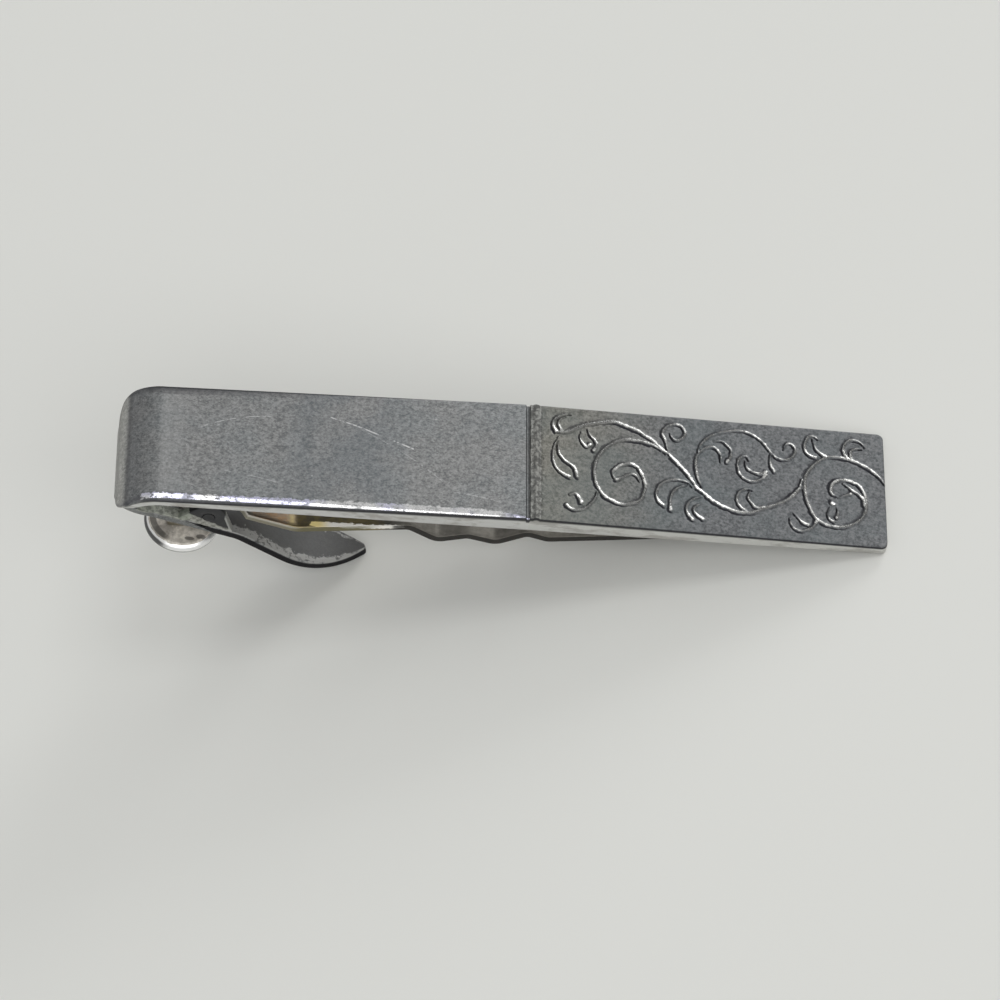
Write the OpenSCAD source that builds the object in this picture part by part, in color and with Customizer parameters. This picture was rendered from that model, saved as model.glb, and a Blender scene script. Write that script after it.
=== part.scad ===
// Tie clip: one folded sheet bar with a hinged spring jaw behind it. Lengths are in mm.
// X runs along the bar from the fold to the free end, Y across it and Z up through its front.
// The origin is the middle of the bar's flat back. Each piece is drawn with X = 0 at the
// outside of the fold, where its sizes are measured from, and is then moved to that origin.

/* [Front bar] */
// length over all, from the outside of the fold to the free end
bar_len = 57.6; // [50:0.2:70]
// width of the bar
bar_w = 10.4; // [9:0.2:12]
// thickness of the sheet at both ends of the bar and along the arm
sheet = 0.8; // [0.7:0.05:0.9]
// thickness of the bar at the ridge, where its two shallow faces meet
ridge_t = 1.55; // [1.2:0.05:2]
// place of the ridge, as a share of the length
ridge_share = 0.532; // [0.5:0.01:0.6]
// corner rounding of the free end
end_r = 0.5; // [0.2:0.1:1]
// width of the bevel along both long edges, widest at the fold
bevel_w = 0.65; // [0.4:0.05:1]
// depth of that bevel at the fold
bevel_h = 0.16; // [0.1:0.02:0.3]
// width of the raised bead that closes off the panel
bead_w = 0.5; // [0.3:0.1:0.8]
// height of that bead
bead_h = 0.14; // [0.05:0.01:0.2]
// width of the groove beside the bead
groove_w = 0.3; // [0.2:0.05:0.4]
// depth of that groove
groove_h = 0.2; // [0.1:0.05:0.3]

/* [Fold and arm] */
// outside radius of the fold
fold_r = 3.4; // [3.2:0.1:3.8]
// depth below the front at which the bar begins to draw in
shoulder_drop = 0.75; // [0.5:0.05:0.9]
// rounding of the shoulders where the bar draws in to the neck
shoulder_r = 2.1; // [1.8:0.1:2.3]
// width of the neck that goes round the fold
neck_w = 5.8; // [5.4:0.1:6]
// rounding between shoulder and neck
neck_r = 0.5; // [0.3:0.1:0.8]
// width of the arm
arm_w = 4.4; // [4.2:0.1:4.6]
// slope of the arm away from the bar, in degrees
arm_slope = 18.5; // [16:0.5:20]
// straight run of the arm that carries the ears
arm_run = 7.05; // [6.8:0.05:7.4]
// radius of the dip behind the ears
dip_r = 3.4; // [3:0.1:4]
// extra slope that the dip adds, in degrees
dip_turn = 16.5; // [14:0.5:18]
// straight run behind the dip
dip_run = 3.7; // [3.4:0.1:4]
// radius of the curled tongue
tongue_r = 8.3; // [7.5:0.1:9]
// turn of the tongue, in degrees, which brings its tip up again
tongue_turn = 47; // [42:1:50]
// length over which the tongue's arched sides draw in to its tip
point_len = 6.1; // [5.5:0.1:6.5]
// rounding of the tongue's tip
point_r = 0.35; // [0.3:0.05:0.6]

/* [Hinge] */
// distance of the pivot from the outside of the fold
pin_x = 7.2; // [7:0.05:7.4]
// radius of the pivot pin
pin_r = 0.45; // [0.4:0.01:0.5]
// height of the pin over the inside of the arm
pin_h = 1; // [0.98:0.01:1.1]
// thickness of each ear
ear_t = 0.6; // [0.5:0.05:0.65]
// rounding of the ears about the pin
ear_r = 1.3; // [1.1:0.05:1.5]
// foot of the ears towards the fold, measured from the pin
ear_back = 2.1; // [1.8:0.1:2.3]
// foot of the ears towards the tongue, measured from the pin
ear_front = 2.4; // [2:0.1:2.5]
// clearance of the turning lugs on the pin
pin_gap = 0.04; // [0.02:0.01:0.08]
// clearance of the pin in the ears that hold it
ear_gap = 0.01; // [0.005:0.005:0.02]
// clearance between an ear and the lug beside it
side_gap = 0.05; // [0.03:0.01:0.08]

/* [Lever] */
// thickness of the lever's strip
strip_t = 0.6; // [0.5:0.05:0.65]
// width of the jaw
jaw_w = 4.4; // [4:0.1:5]
// thickness of the two lugs
lug_t = 0.45; // [0.4:0.05:0.5]
// rounding of the lugs about the pin
lug_r = 0.85; // [0.75:0.05:0.9]
// width of the tail that goes down through the arm
tail_w = 2; // [1.8:0.1:2.1]
// distance of the tail from the outside of the fold
tail_x = 5.8; // [5.7:0.05:5.9]
// length of the foot that lies on the thumb disc
foot_len = 1.6; // [1.2:0.1:2]
// distance of the lowest bend of the jaw from the fold
sag_x = 13.8; // [13.4:0.1:14.2]
// distance of the first crest from the fold
crest_x = 22.3; // [22:0.1:22.6]
// spacing of the crests
crest_pitch = 4.45; // [4.3:0.05:4.5]
// distance from the first two crests to the troughs behind them
trough_step = 2.2; // [2:0.1:2.3]
// distance from the last crest to its trough
last_step = 1.6; // [1.4:0.1:1.8]
// depth of the three crests below the bar's back
crest_z = [5.08, 5.73, 4.93];
// depth of the three troughs below the bar's back
trough_z = [6.5, 6.32, 5.48];
// slope of the jaw behind the last trough, in degrees
run_slope = 9.4; // [9:0.1:10]
// slope of the jaw where it comes up to the bar, in degrees
rise_slope = 23.5; // [22:0.5:25]
// place where the jaw's nose bears on the bar
nose_x = 51; // [50:0.5:52]
// radius of the nose
nose_r = 1.5; // [1:0.1:2]
// slope of the lip beyond the nose, in degrees
lip_slope = 20; // [10:1:30]
// length of that lip
lip_len = 1.6; // [1.2:0.1:2]
// radius of the jaw's rounded end, seen from above
lip_end_r = 3.6; // [3.4:0.2:6]
// gap between the closed nose and the bar's back
nose_gap = 0.03; // [0.02:0.01:0.05]

/* [Thumb disc] */
// diameter of the disc
disc_d = 5.7; // [5:0.1:6]
// distance of its centre from the outside of the fold
disc_x = 5.33; // [5.2:0.05:5.5]
// depth of its rim below the bar's back
disc_z = 9.6; // [9.5:0.1:10]
// diameter of its flat middle
disc_flat_d = 4.2; // [3.6:0.1:4.4]
// drop from the flat middle to the rim
disc_drop = 0.5; // [0.3:0.05:0.6]
// thickness of the disc's sheet
disc_t = 0.45; // [0.4:0.05:0.5]

/* [Spring] */
// thickness of the wire
wire_d = 0.3; // [0.26:0.02:0.3]
// full turns of the coil, before the half turn that sets the legs apart
coil_turns = 2; // [1:1:2]
// length of each leg, from the middle of the coil
leg_len = 2.2; // [1.6:0.1:2.4]

/* [Hidden] */
$fn = 72;

// how far a cut runs past what it cuts
over = 1;

// how far each straight run of the sheet reaches into the bends beside it, so that they join
weld = 0.002;

// small clearance between the spring and what it bears on
spring_gap = 0.02;

// turn between neighbouring points of the lever's bends, in degrees
bend_step = 6;

// radii of the lever's bends, on its middle line
foot_r = 0.6;
tail_r = 0.7;
sag_r = 1.6;
crest_r = 0.9;
trough_r = 1.1;
rise_r = 8;

// clearance of the tail in its slot, at the sides and lengthwise
slot_side = 0.2;
slot_back = 1.1;
slot_front = 0.4;

ridge_x = bar_len * ridge_share;
fold_mid = fold_r - sheet / 2;
arm_dir = [cos(arm_slope), -sin(arm_slope)];
arm_up = [sin(arm_slope), cos(arm_slope)];

// a point on the inside of the arm where the fold ends
arm_start = [fold_r, sheet - fold_r] - (fold_r - sheet) * arm_up;

// the pin's centre lies pin_h over the inside of the arm
pin_along = (pin_x - arm_start[0] - pin_h * arm_up[0]) / arm_dir[0];
pin_at = arm_start + pin_along * arm_dir + pin_h * arm_up;

ear_in = arm_w / 2 - ear_t;
lug_out = ear_in - side_gap;
lug_in = lug_out - lug_t;
coil_r = pin_h - spring_gap - wire_d / 2;

// rings of the wire in one turn of the coil, and its sides
coil_rings = 24;
wire_sides = 6;
turn_count = coil_turns + 0.5;
ring_count = coil_rings * turn_count;
coil_pitch = (2 * lug_in - wire_d - 2 * side_gap) / turn_count;

// the reach of the tongue's tip, from the bends that lead to it
tongue_start = arm_start - sheet / 2 * arm_up + arm_run * arm_dir
  + dip_r * [sin(arm_slope + dip_turn) - sin(arm_slope), cos(arm_slope + dip_turn) - cos(arm_slope)]
  + dip_run * [cos(arm_slope + dip_turn), -sin(arm_slope + dip_turn)];
tip_x = tongue_start[0] + tongue_r * (sin(arm_slope + dip_turn) - sin(arm_slope + dip_turn - tongue_turn));

// the lever's strip lies over the pin, as far above it as the arm is below
strip_over = pin_h + strip_t / 2;
strip_z0 = pin_at[1] + strip_over / cos(arm_slope) + pin_at[0] * tan(arm_slope);
foot_z = -disc_z + disc_t + disc_drop + strip_t / 2;

// height of the nose's corner, so that its rounded top comes to the bar's back
nose_turn = rise_slope + lip_slope;
nose_z = -nose_gap - strip_t / 2
  + nose_r * (cos((rise_slope - lip_slope) / 2) / cos(nose_turn / 2) - 1);
last_trough = [crest_x + 2 * crest_pitch + last_step, -trough_z[2]];
rise_x = (nose_z - tan(rise_slope) * nose_x - last_trough[1] + tan(run_slope) * last_trough[0])
  / (tan(run_slope) - tan(rise_slope));

// corners of the lever's middle line, from the foot to the lip
lever_corners = [
  [tail_x - foot_len, foot_z],
  [tail_x, foot_z],
  [tail_x, strip_z0 - tail_x * tan(arm_slope)],
  [sag_x, strip_z0 - sag_x * tan(arm_slope)],
  [crest_x, -crest_z[0]],
  [crest_x + trough_step, -trough_z[0]],
  [crest_x + crest_pitch, -crest_z[1]],
  [crest_x + crest_pitch + trough_step, -trough_z[1]],
  [crest_x + 2 * crest_pitch, -crest_z[2]],
  last_trough,
  [rise_x, last_trough[1] + (rise_x - last_trough[0]) * tan(run_slope)],
  [nose_x, nose_z],
  [nose_x + lip_len * cos(lip_slope), nose_z - lip_len * sin(lip_slope)]
];
lever_radii = [
  0, foot_r, tail_r, sag_r, crest_r, trough_r, crest_r, trough_r, crest_r, trough_r, rise_r, nose_r, 0
];

// direction of the run that leaves corner i
function heading(p, i) = atan2(p[i + 1][1] - p[i][1], p[i + 1][0] - p[i][0]);

// turn at corner i, kept between -180 and 180 degrees
function turn_at(p, i) =
  let (t = heading(p, i) - heading(p, i - 1))
  t > 180 ? t - 360 : t < -180 ? t + 360 : t;

// length that the bend at corner i takes from each run beside it
function set_back(p, r, i) = r[i] * tan(abs(turn_at(p, i)) / 2);

// stations round the bend at corner i, each a point and the strip's direction there
function round_bend(p, r, i) =
  let (
    turn = turn_at(p, i),
    first = heading(p, i - 1),
    count = ceil(abs(turn) / bend_step),
    start = p[i] - set_back(p, r, i) * [cos(first), sin(first)],
    arm = sign(turn) * r[i],
    centre = start + arm * [-sin(first), cos(first)]
  )
  [for (k = [0 : count]) let (a = first + turn * k / count) [centre + arm * [sin(a), -cos(a)], a]];

// stations along the whole middle line of a bent strip
function stations(p, r) = concat(
  [[p[0], heading(p, 0)]],
  [for (i = [1 : len(p) - 2]) each round_bend(p, r, i)],
  [[p[len(p) - 1], heading(p, len(p) - 2)]]
);

// one edge of the strip, away from its middle line
function strip_edge(line, away) = [for (q = line) q[0] + away * [-sin(q[1]), cos(q[1])]];

// a strip seen on edge, laid along the stations of its middle line
module bent_strip(line, thick) {
  top = strip_edge(line, thick / 2);
  under = strip_edge(line, -thick / 2);
  polygon(concat(top, [for (i = [len(under) - 1 : -1 : 0]) under[i]]));
}

// one bend of the bar's sheet, turning about the origin from straight down
module bend(r, thick, turn) {
  far = 2 * (r + thick);
  intersection() {
    difference() {
      circle(r + thick / 2);
      circle(r - thick / 2);
    }
    polygon(concat([[0, 0]], [for (k = [0 : 4]) far * [sin(turn * k / 4), -cos(turn * k / 4)]]));
  }
}

// the bar's sheet seen on edge, laid from the origin along +X in straight runs and true bends
module sheet_run(steps, thick, i = 0) {
  if (i < len(steps)) {
    size = steps[i][0];
    turn = steps[i][1];
    if (turn == 0) {
      translate([-weld, -thick / 2])
        square([size + 2 * weld, thick]);
      translate([size, 0])
        sheet_run(steps, thick, i + 1);
    } else {
      side = sign(turn);
      mirror([0, side < 0 ? 1 : 0])
        translate([0, size])
          bend(size, thick, abs(turn));
      translate([size * sin(abs(turn)), side * size * (1 - cos(turn))])
        rotate(turn)
          sheet_run(steps, thick, i + 1);
    }
  }
}

// stands a side view up in the XZ plane, evenly about Y = 0
module upright(width) {
  rotate([90, 0, 0])
    linear_extrude(width, center = true)
      children();
}

// moves what lies along the arm to the pin and tilts it to the arm's slope
module at_pin() {
  translate(pin_at)
    rotate(-arm_slope)
      children();
}

// half of the fold's outline, seen along X
module half_fold_outline() {
  far = bar_w / 2 - shoulder_r;
  fillet_x = neck_w / 2 + neck_r;
  start_z = sheet - shoulder_drop;
  fillet_z = start_z - sqrt(pow(shoulder_r + neck_r, 2) - pow(fillet_x - far, 2));
  touch = [far, start_z] + shoulder_r / (shoulder_r + neck_r) * [fillet_x - far, fillet_z - start_z];
  translate([far, start_z])
    circle(shoulder_r);
  translate([0, start_z - shoulder_r])
    square([far, shoulder_r + over]);
  translate([0, start_z])
    square([bar_w / 2, shoulder_drop + over]);
  difference() {
    polygon([[0, start_z - shoulder_r / 2], [far, start_z - shoulder_r / 2], touch,
      [fillet_x, fillet_z], [0, fillet_z]]);
    translate([fillet_x, fillet_z])
      circle(neck_r);
  }
  polygon([[0, fillet_z], [neck_w / 2, fillet_z], [arm_w / 2, sheet - 2 * fold_r],
    [arm_w / 2, -3 * fold_r], [0, -3 * fold_r]]);
}

// the arm seen from above, with its tongue drawn in to a rounded tip along two arched sides
module arm_outline() {
  half_w = arm_w / 2;
  reach = point_len - point_r;
  side_r = (pow(reach, 2) + pow(half_w, 2) - pow(point_r, 2)) / (2 * (half_w - point_r));
  side_turn = atan2(reach, side_r - half_w);
  root_x = tip_x - point_len;
  translate([tip_x - point_r, 0])
    circle(point_r);
  translate([fold_r - over, -half_w])
    square([root_x - fold_r + over + weld, arm_w]);
  intersection() {
    translate([root_x, half_w - side_r])
      circle(side_r);
    translate([root_x, side_r - half_w])
      circle(side_r);
    translate([root_x, -half_w])
      square([side_r * sin(side_turn), arm_w]);
  }
}

// the flat sheet turned round the fold and out along the arm
module fold_and_arm() {
  steps = [
    [fold_mid, 180 - arm_slope],
    [arm_run, 0],
    [dip_r, -dip_turn],
    [dip_run, 0],
    [tongue_r, tongue_turn]
  ];
  intersection() {
    upright(bar_w)
      translate([fold_r, sheet / 2])
        rotate(180)
          sheet_run(steps, sheet);
    union() {
      translate([-over, 0, 0])
        rotate([90, 0, 90])
          linear_extrude(fold_r + over)
            union() {
              half_fold_outline();
              mirror([1, 0])
                half_fold_outline();
            }
      translate([0, 0, -5 * fold_r])
        linear_extrude(4 * fold_r)
          arm_outline();
    }
  }
}

// cuts the bevel of one long edge, which runs out at the ridge
module edge_bevel() {
  near = [fold_r, bar_w / 2 - bevel_w, sheet];
  low = [fold_r, bar_w / 2, sheet - bevel_h];
  end = [ridge_x, bar_w / 2, ridge_t];
  out = cross(low - near, end - near);
  face = out[2] > 0 ? out : -out;
  block = 2 * bar_len;
  translate(near)
    rotate([0, acos(face[2] / norm(face)), atan2(face[1], face[0])])
      translate([-block / 2, -block / 2, 0])
        cube(block);
}

// the bar alone, with its ridge, rounded end, groove and bead
module bar_blank() {
  difference() {
    intersection() {
      upright(bar_w)
        polygon([[fold_r, 0], [bar_len, 0], [bar_len, sheet], [ridge_x, ridge_t], [fold_r, sheet]]);
      linear_extrude(2 * ridge_t)
        union() {
          translate([0, -bar_w / 2])
            square([bar_len - end_r, bar_w]);
          translate([0, end_r - bar_w / 2])
            square([bar_len, bar_w - 2 * end_r]);
          for (s = [-1, 1])
            translate([bar_len - end_r, s * (bar_w / 2 - end_r)])
              circle(end_r);
        }
    }
    translate([ridge_x - groove_w, -bar_w / 2 - over, ridge_t - groove_h])
      cube([groove_w, bar_w + 2 * over, groove_h + over]);
  }
}

// the raised bead beside the groove, a low round across the bar
module bead() {
  round_r = (pow(bead_w / 2, 2) + pow(bead_h, 2)) / (2 * bead_h);
  upright(bar_w)
    intersection() {
      translate([ridge_x + bead_w, ridge_t + bead_h - round_r])
        circle(round_r);
      translate([ridge_x, ridge_t - bead_h])
        square([2 * bead_w, 2 * bead_h]);
    }
}

// one ear, seen from the side, about the pin's centre
module ear_outline() {
  foot = -pin_h - sheet / 2;
  at_pin()
    union() {
      circle(ear_r);
      polygon([[-ear_back, foot], [ear_front, foot], [ear_r * cos(30), ear_r * sin(30)],
        [-ear_r * cos(30), ear_r * sin(30)]]);
    }
}

module ears() {
  difference() {
    upright(arm_w)
      ear_outline();
    upright(2 * ear_in)
      at_pin()
        square(4 * fold_r, center = true);
  }
}

// one folded sheet: bar, fold, arm and the two ears that are turned up from the arm
module front_bar() {
  color([0.72, 0.72, 0.73])
    difference() {
      union() {
        difference() {
          union() {
            bar_blank();
            fold_and_arm();
          }
          for (s = [0, 1])
            mirror([0, s, 0])
              edge_bevel();
        }
        bead();
        ears();
      }
      upright(arm_w + 2 * over)
        at_pin()
          circle(pin_r + ear_gap);
      translate([tail_x - slot_back, -tail_w / 2 - slot_side, pin_at[1] - pin_h - 2 * sheet])
        cube([slot_back + slot_front, tail_w + 2 * slot_side, 2 * pin_h + 2 * sheet]);
    }
}

// the strip of the lever seen from above: tail, part between the ears and jaw
module lever_outline() {
  narrow_end = pin_at[0] + ear_front + side_gap;
  lip_end = nose_x + lip_len;
  translate([tail_x - 2 * foot_len, -tail_w / 2])
    square([bar_w, tail_w]);
  translate([tail_x + strip_t, -lug_out])
    square([bar_w, 2 * lug_out]);
  intersection() {
    translate([narrow_end, -jaw_w / 2])
      square([lip_end - narrow_end, jaw_w]);
    union() {
      translate([lip_end - lip_end_r, 0])
        circle(lip_end_r);
      translate([0, -jaw_w])
        square([lip_end - lip_end_r, 2 * jaw_w]);
    }
  }
}

// the two lugs that carry the lever on the pin
module lugs() {
  difference() {
    upright(2 * lug_out)
      at_pin()
        union() {
          circle(lug_r);
          translate([-lug_r, 0])
            square([2 * lug_r, strip_over]);
        }
    upright(2 * lug_in)
      at_pin()
        square([4 * lug_r, 2 * pin_h], center = true);
  }
}

// one bent strip: foot, tail, corrugated jaw and nose, with its lugs
module lever() {
  color([0.66, 0.6, 0.5])
    difference() {
      union() {
        intersection() {
          upright(bar_w)
            bent_strip(stations(lever_corners, lever_radii), strip_t);
          translate([0, 0, -disc_z - over])
            linear_extrude(disc_z + over)
              lever_outline();
        }
        lugs();
      }
      upright(arm_w)
        at_pin()
          circle(pin_r + pin_gap);
    }
}

// dished disc under the arm, pressed by the thumb
module thumb_disc() {
  color([0.62, 0.6, 0.58])
    translate([disc_x, 0, -disc_z])
      rotate_extrude()
        polygon([[0, disc_drop], [disc_flat_d / 2, disc_drop], [disc_d / 2, 0], [disc_d / 2, disc_t],
          [disc_flat_d / 2, disc_drop + disc_t], [0, disc_drop + disc_t]]);
}

module pivot_pin() {
  color([0.55, 0.55, 0.56])
    upright(arm_w)
      at_pin()
        circle(pin_r);
}

// middle line of the wire about the pin: lower leg, coil and upper leg
function wire_point(k) =
  k < 0 ? [leg_len, -coil_r, -turn_count / 2 * coil_pitch]
  : k > ring_count ? [leg_len, coil_r, turn_count / 2 * coil_pitch]
  : let (a = -90 - 360 * k / coil_rings)
    [coil_r * cos(a), coil_r * sin(a), (k / coil_rings - turn_count / 2) * coil_pitch];

// outward direction of the wire's ring k
function wire_side(k) =
  let (a = -90 - 360 * max(0, min(ring_count, k)) / coil_rings)
  [cos(a), sin(a), 0];

// least gap between turns of the wire that lie half a turn or more apart
wire_gap = min([
  for (i = [0 : ring_count - coil_rings / 2], j = [i + coil_rings / 2 : ring_count])
    norm(wire_point(i) - wire_point(j))
]) - wire_d;
echo(least_gap_in_the_coil = wire_gap);

// torsion spring about the pin: its legs press the arm and the lever apart
module torsion_spring() {
  rings = [for (k = [-1 : ring_count + 1]) [for (s = [0 : wire_sides - 1])
    let (a = 360 * s / wire_sides)
    wire_point(k) + wire_d / 2 * (cos(a) * wire_side(k) + [0, 0, sin(a)])
  ]];
  last = len(rings) - 1;
  color([0.5, 0.5, 0.52])
    rotate([90, 0, 0])
      translate([pin_at[0], pin_at[1], 0])
        rotate(-arm_slope)
          polyhedron(
            [for (ring = rings) each ring],
            concat(
              [[for (s = [0 : wire_sides - 1]) s]],
              [for (k = [0 : last - 1], s = [0 : wire_sides - 1])
                let (n = (s + 1) % wire_sides, b = k * wire_sides, t = b + wire_sides)
                [b + s, t + s, t + n, b + n]],
              [[for (s = [wire_sides - 1 : -1 : 0]) last * wire_sides + s]]
            )
          );
}

// moves a piece from the fold to the origin in the middle of the bar
module from_middle() {
  translate([-bar_len / 2, 0, 0])
    children();
}

from_middle() front_bar();
from_middle() lever();
from_middle() thumb_disc();
from_middle() pivot_pin();
from_middle() torsion_spring();
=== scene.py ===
import math
import bmesh
import bpy
import numpy as np
from mathutils import Matrix, Vector


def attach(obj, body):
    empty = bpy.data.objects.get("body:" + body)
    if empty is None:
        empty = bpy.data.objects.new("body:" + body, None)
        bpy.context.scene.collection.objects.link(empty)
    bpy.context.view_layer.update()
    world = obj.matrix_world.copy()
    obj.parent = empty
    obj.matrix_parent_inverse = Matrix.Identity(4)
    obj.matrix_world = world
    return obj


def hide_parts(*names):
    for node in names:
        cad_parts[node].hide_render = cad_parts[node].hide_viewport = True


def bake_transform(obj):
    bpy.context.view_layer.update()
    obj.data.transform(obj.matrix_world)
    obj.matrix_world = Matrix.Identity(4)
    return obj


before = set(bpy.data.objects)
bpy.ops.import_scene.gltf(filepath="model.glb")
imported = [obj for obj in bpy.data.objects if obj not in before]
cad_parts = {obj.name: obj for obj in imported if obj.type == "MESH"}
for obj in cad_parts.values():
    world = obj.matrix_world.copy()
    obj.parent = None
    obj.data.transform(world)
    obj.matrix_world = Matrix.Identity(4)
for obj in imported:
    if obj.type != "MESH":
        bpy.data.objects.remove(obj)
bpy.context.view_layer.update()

# Folded sheet, plain part
# The left half of the bar, its fold, and the arm with its pointed tongue are one strip of brass
# sheet, rolled to a low ridge, bent round and nickel plated. The front is brushed to a satin.
mm = 0.001
bar_len, bar_w = 57.6, 10.4
sheet_t, ridge_t, ridge_x = 0.8, 1.55, 57.6 * 0.532
end_r, bevel_w, bevel_h = 0.5, 0.65, 0.16
bead_w, bead_h, groove_w, groove_h = 0.5, 0.14, 0.3, 0.2
fold_r, shoulder_drop, shoulder_r, neck_w, neck_r = 3.4, 0.75, 2.1, 5.8, 0.5
arm_w, arm_slope, arm_run = 4.4, 18.5, 7.05
dip_r, dip_turn, dip_run = 3.4, 16.5, 3.7
tongue_r, tongue_turn, point_len, point_r = 8.3, 47.0, 6.1, 0.35
edge_r, least_bevel_w, least_bevel_h = 0.07, 0.1, 0.07
bevel_end, fold_steps, sharp_corner = 70, 56, 50


def framed(x, y, z):
    """A point in mm, x from the outside of the fold, in the frame's metres."""
    return (x - bar_len / 2) * mm, y * mm, z * mm


def way(angle):
    """One mm along a direction of the clip's side view."""
    return np.array([math.cos(angle), math.sin(angle)])


def front_height(x):
    """Height of the bar's front over its flat back, x mm from the outside of the fold."""
    if x <= ridge_x:
        z = sheet_t + (ridge_t - sheet_t) * (x - fold_r) / (ridge_x - fold_r)
        depth = (x - ridge_x + groove_w) / groove_w
        return z - groove_h * min(1, max(0, depth * 3))
    z = ridge_t - (ridge_t - sheet_t) * (x - ridge_x) / (bar_len - ridge_x)
    return z + bead_h * max(0, 1 - ((x - ridge_x - bead_w) / (bead_w / 2)) ** 2)


def fold_half_width(z):
    """Half the width of the fold at height z, seen along the bar: shoulder, fillet and neck."""
    far, start_z = bar_w / 2 - shoulder_r, sheet_t - shoulder_drop
    fillet_y = neck_w / 2 + neck_r
    fillet_z = start_z - math.sqrt((shoulder_r + neck_r) ** 2 - (fillet_y - far) ** 2)
    touch_z = start_z + shoulder_r / (shoulder_r + neck_r) * (fillet_z - start_z)
    if z >= start_z:
        return bar_w / 2
    if z >= touch_z:
        return far + math.sqrt(shoulder_r ** 2 - (start_z - z) ** 2)
    if z >= fillet_z:
        return fillet_y - math.sqrt(max(0, neck_r ** 2 - (z - fillet_z) ** 2))
    low = sheet_t - 2 * fold_r
    return arm_w / 2 + (neck_w - arm_w) / 2 * max(0, (z - low) / (fillet_z - low))


def round_corner(before, corner, after, radius, count):
    """Points of a small round at the corner of an outline."""
    a, c, b = (np.array(p, float) for p in (before, corner, after))
    u, v = a - c, b - c
    reach = min(radius, 0.45 * np.linalg.norm(u), 0.45 * np.linalg.norm(v))
    u, v = u / np.linalg.norm(u) * reach, v / np.linalg.norm(v) * reach
    steps = np.linspace(0, 1, count)
    return [tuple(c + u * (1 - s) ** 2 + v * s ** 2) for s in steps]


def sheet_section(w_out, w_in, thick, bevel, drop, inset, columns):
    """One cross-section of sheet as (y, height, edge, face) from the middle of its front round one
    side to the middle of its back. face is 0 on the front, 1 on the side and 2 on the back."""
    w_out, w_in, top, low = w_out - inset, w_in - inset, thick - inset, inset
    corners = [(0, top), (w_out - bevel, top), (w_out, top - drop), (w_in, low), (0, low)]
    ring = []
    first = round_corner(corners[0], corners[1], corners[2], edge_r, 3)
    for k in range(columns):
        ring.append((first[0][0] * k / columns, top, 0.0, 0.0))
    ring += [(y, z, 0.6, 0.0) for y, z in first]
    ring += [(y, z, 1.0, 0.5) for y, z in round_corner(corners[1], corners[2], corners[3], edge_r, 4)]
    last = round_corner(corners[2], corners[3], corners[4], edge_r, 4)
    ring += [(y, z, 1.0, 1.5) for y, z in last]
    back = 6
    for k in range(1, back + 1):
        ring.append((last[-1][0] * (1 - k / back), low, 0.0, 2.0))
    return ring


def ring_faces(rows, size, strips):
    """Faces of the strips between neighbouring rings of points. After the last ring comes the first."""
    return [[r * size + k, r * size + (k + 1) % size, (r + 1) % rows * size + (k + 1) % size,
             (r + 1) % rows * size + k] for r in range(strips) for k in range(size)]


def loft_sheet(name, stations, columns):
    """A closed strip of sheet through cross-sections. A station is (outer point, inner point, half
    width outside, half width inside, bevel width, bevel depth, inset, length along the strip)."""
    verts, marks = [], []
    for outer, inner, w_out, w_in, bevel, drop, inset, along in stations:
        outer, inner = np.array(outer, float), np.array(inner, float)
        thick = np.linalg.norm(outer - inner)
        up = (outer - inner) / thick
        half = sheet_section(w_out, w_in, thick, bevel, drop, inset, columns)
        ring = half + [(-y, z, e, f) for y, z, e, f in half[-2:0:-1]]
        for y, z, edge, face in ring:
            x, height = inner + up * z
            verts.append(framed(x, y, height))
            marks.append((edge, face, along, y / max(w_out, 0.01)))
    size, rows = len(ring), len(stations)
    faces = ring_faces(rows, size, rows - 1)
    half_ring = size // 2
    for r, flip in ((0, True), (rows - 1, False)):
        for k in range(half_ring):
            cap = (k, k + 1, (size - k - 1) % size, (size - k) % size)
            cap = list(dict.fromkeys(r * size + i for i in cap))
            faces.append(cap[::-1] if flip else cap)
    return make_piece(name, verts, faces, marks)


def add_object(name, data):
    """A new object in the scene."""
    made = bpy.data.objects.new(name, data)
    bpy.context.scene.collection.objects.link(made)
    return made


def make_piece(name, verts, faces, marks=None):
    """A mesh object in the frame's metres, with outward faces and the marks that its finish reads."""
    mesh = bpy.data.meshes.new(name)
    mesh.from_pydata(verts, [], faces)
    if marks is not None:
        for i, mark in enumerate(("edge", "face", "along", "across")):
            layer = mesh.attributes.new(mark, "FLOAT", "POINT")
            layer.data.foreach_set("value", np.array([m[i] for m in marks], np.float32))
    return tidy_faces(add_object(name, mesh))


def tidy_faces(piece):
    """Turns all faces outwards and shades them smooth up to sharp corners."""
    work = bmesh.new()
    work.from_mesh(piece.data)
    bmesh.ops.recalc_face_normals(work, faces=work.faces)
    for edge in work.edges:
        edge.smooth = len(edge.link_faces) != 2 or edge.calc_face_angle(0) < math.radians(sharp_corner)
    for face in work.faces:
        face.smooth = True
    work.to_mesh(piece.data)
    work.free()
    return piece


def settle(piece):
    """Applies the piece's modifiers, so that it is a plain mesh."""
    depth = bpy.context.evaluated_depsgraph_get()
    mesh = bpy.data.meshes.new_from_object(piece.evaluated_get(depth), preserve_all_data_layers=True,
                                           depsgraph=depth)
    piece.modifiers.clear()
    piece.data = mesh
    return piece


def bar_station(x, inset=0.0):
    """The bar's cross-section x mm from the fold. Its free corners are round, and its bevel fades
    out towards the ridge."""
    off = max(0.0, x - bar_len + end_r)
    half = bar_w / 2 - end_r + math.sqrt(max(0.0, end_r ** 2 - off ** 2))
    share = max(0.0, 1 - (x - fold_r) / (ridge_x - fold_r))
    bevel, drop = max(least_bevel_w, bevel_w * share), max(least_bevel_h, bevel_h * share)
    return ((x, front_height(x)), (x, 0), half, half, bevel, drop, inset, -x)


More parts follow.
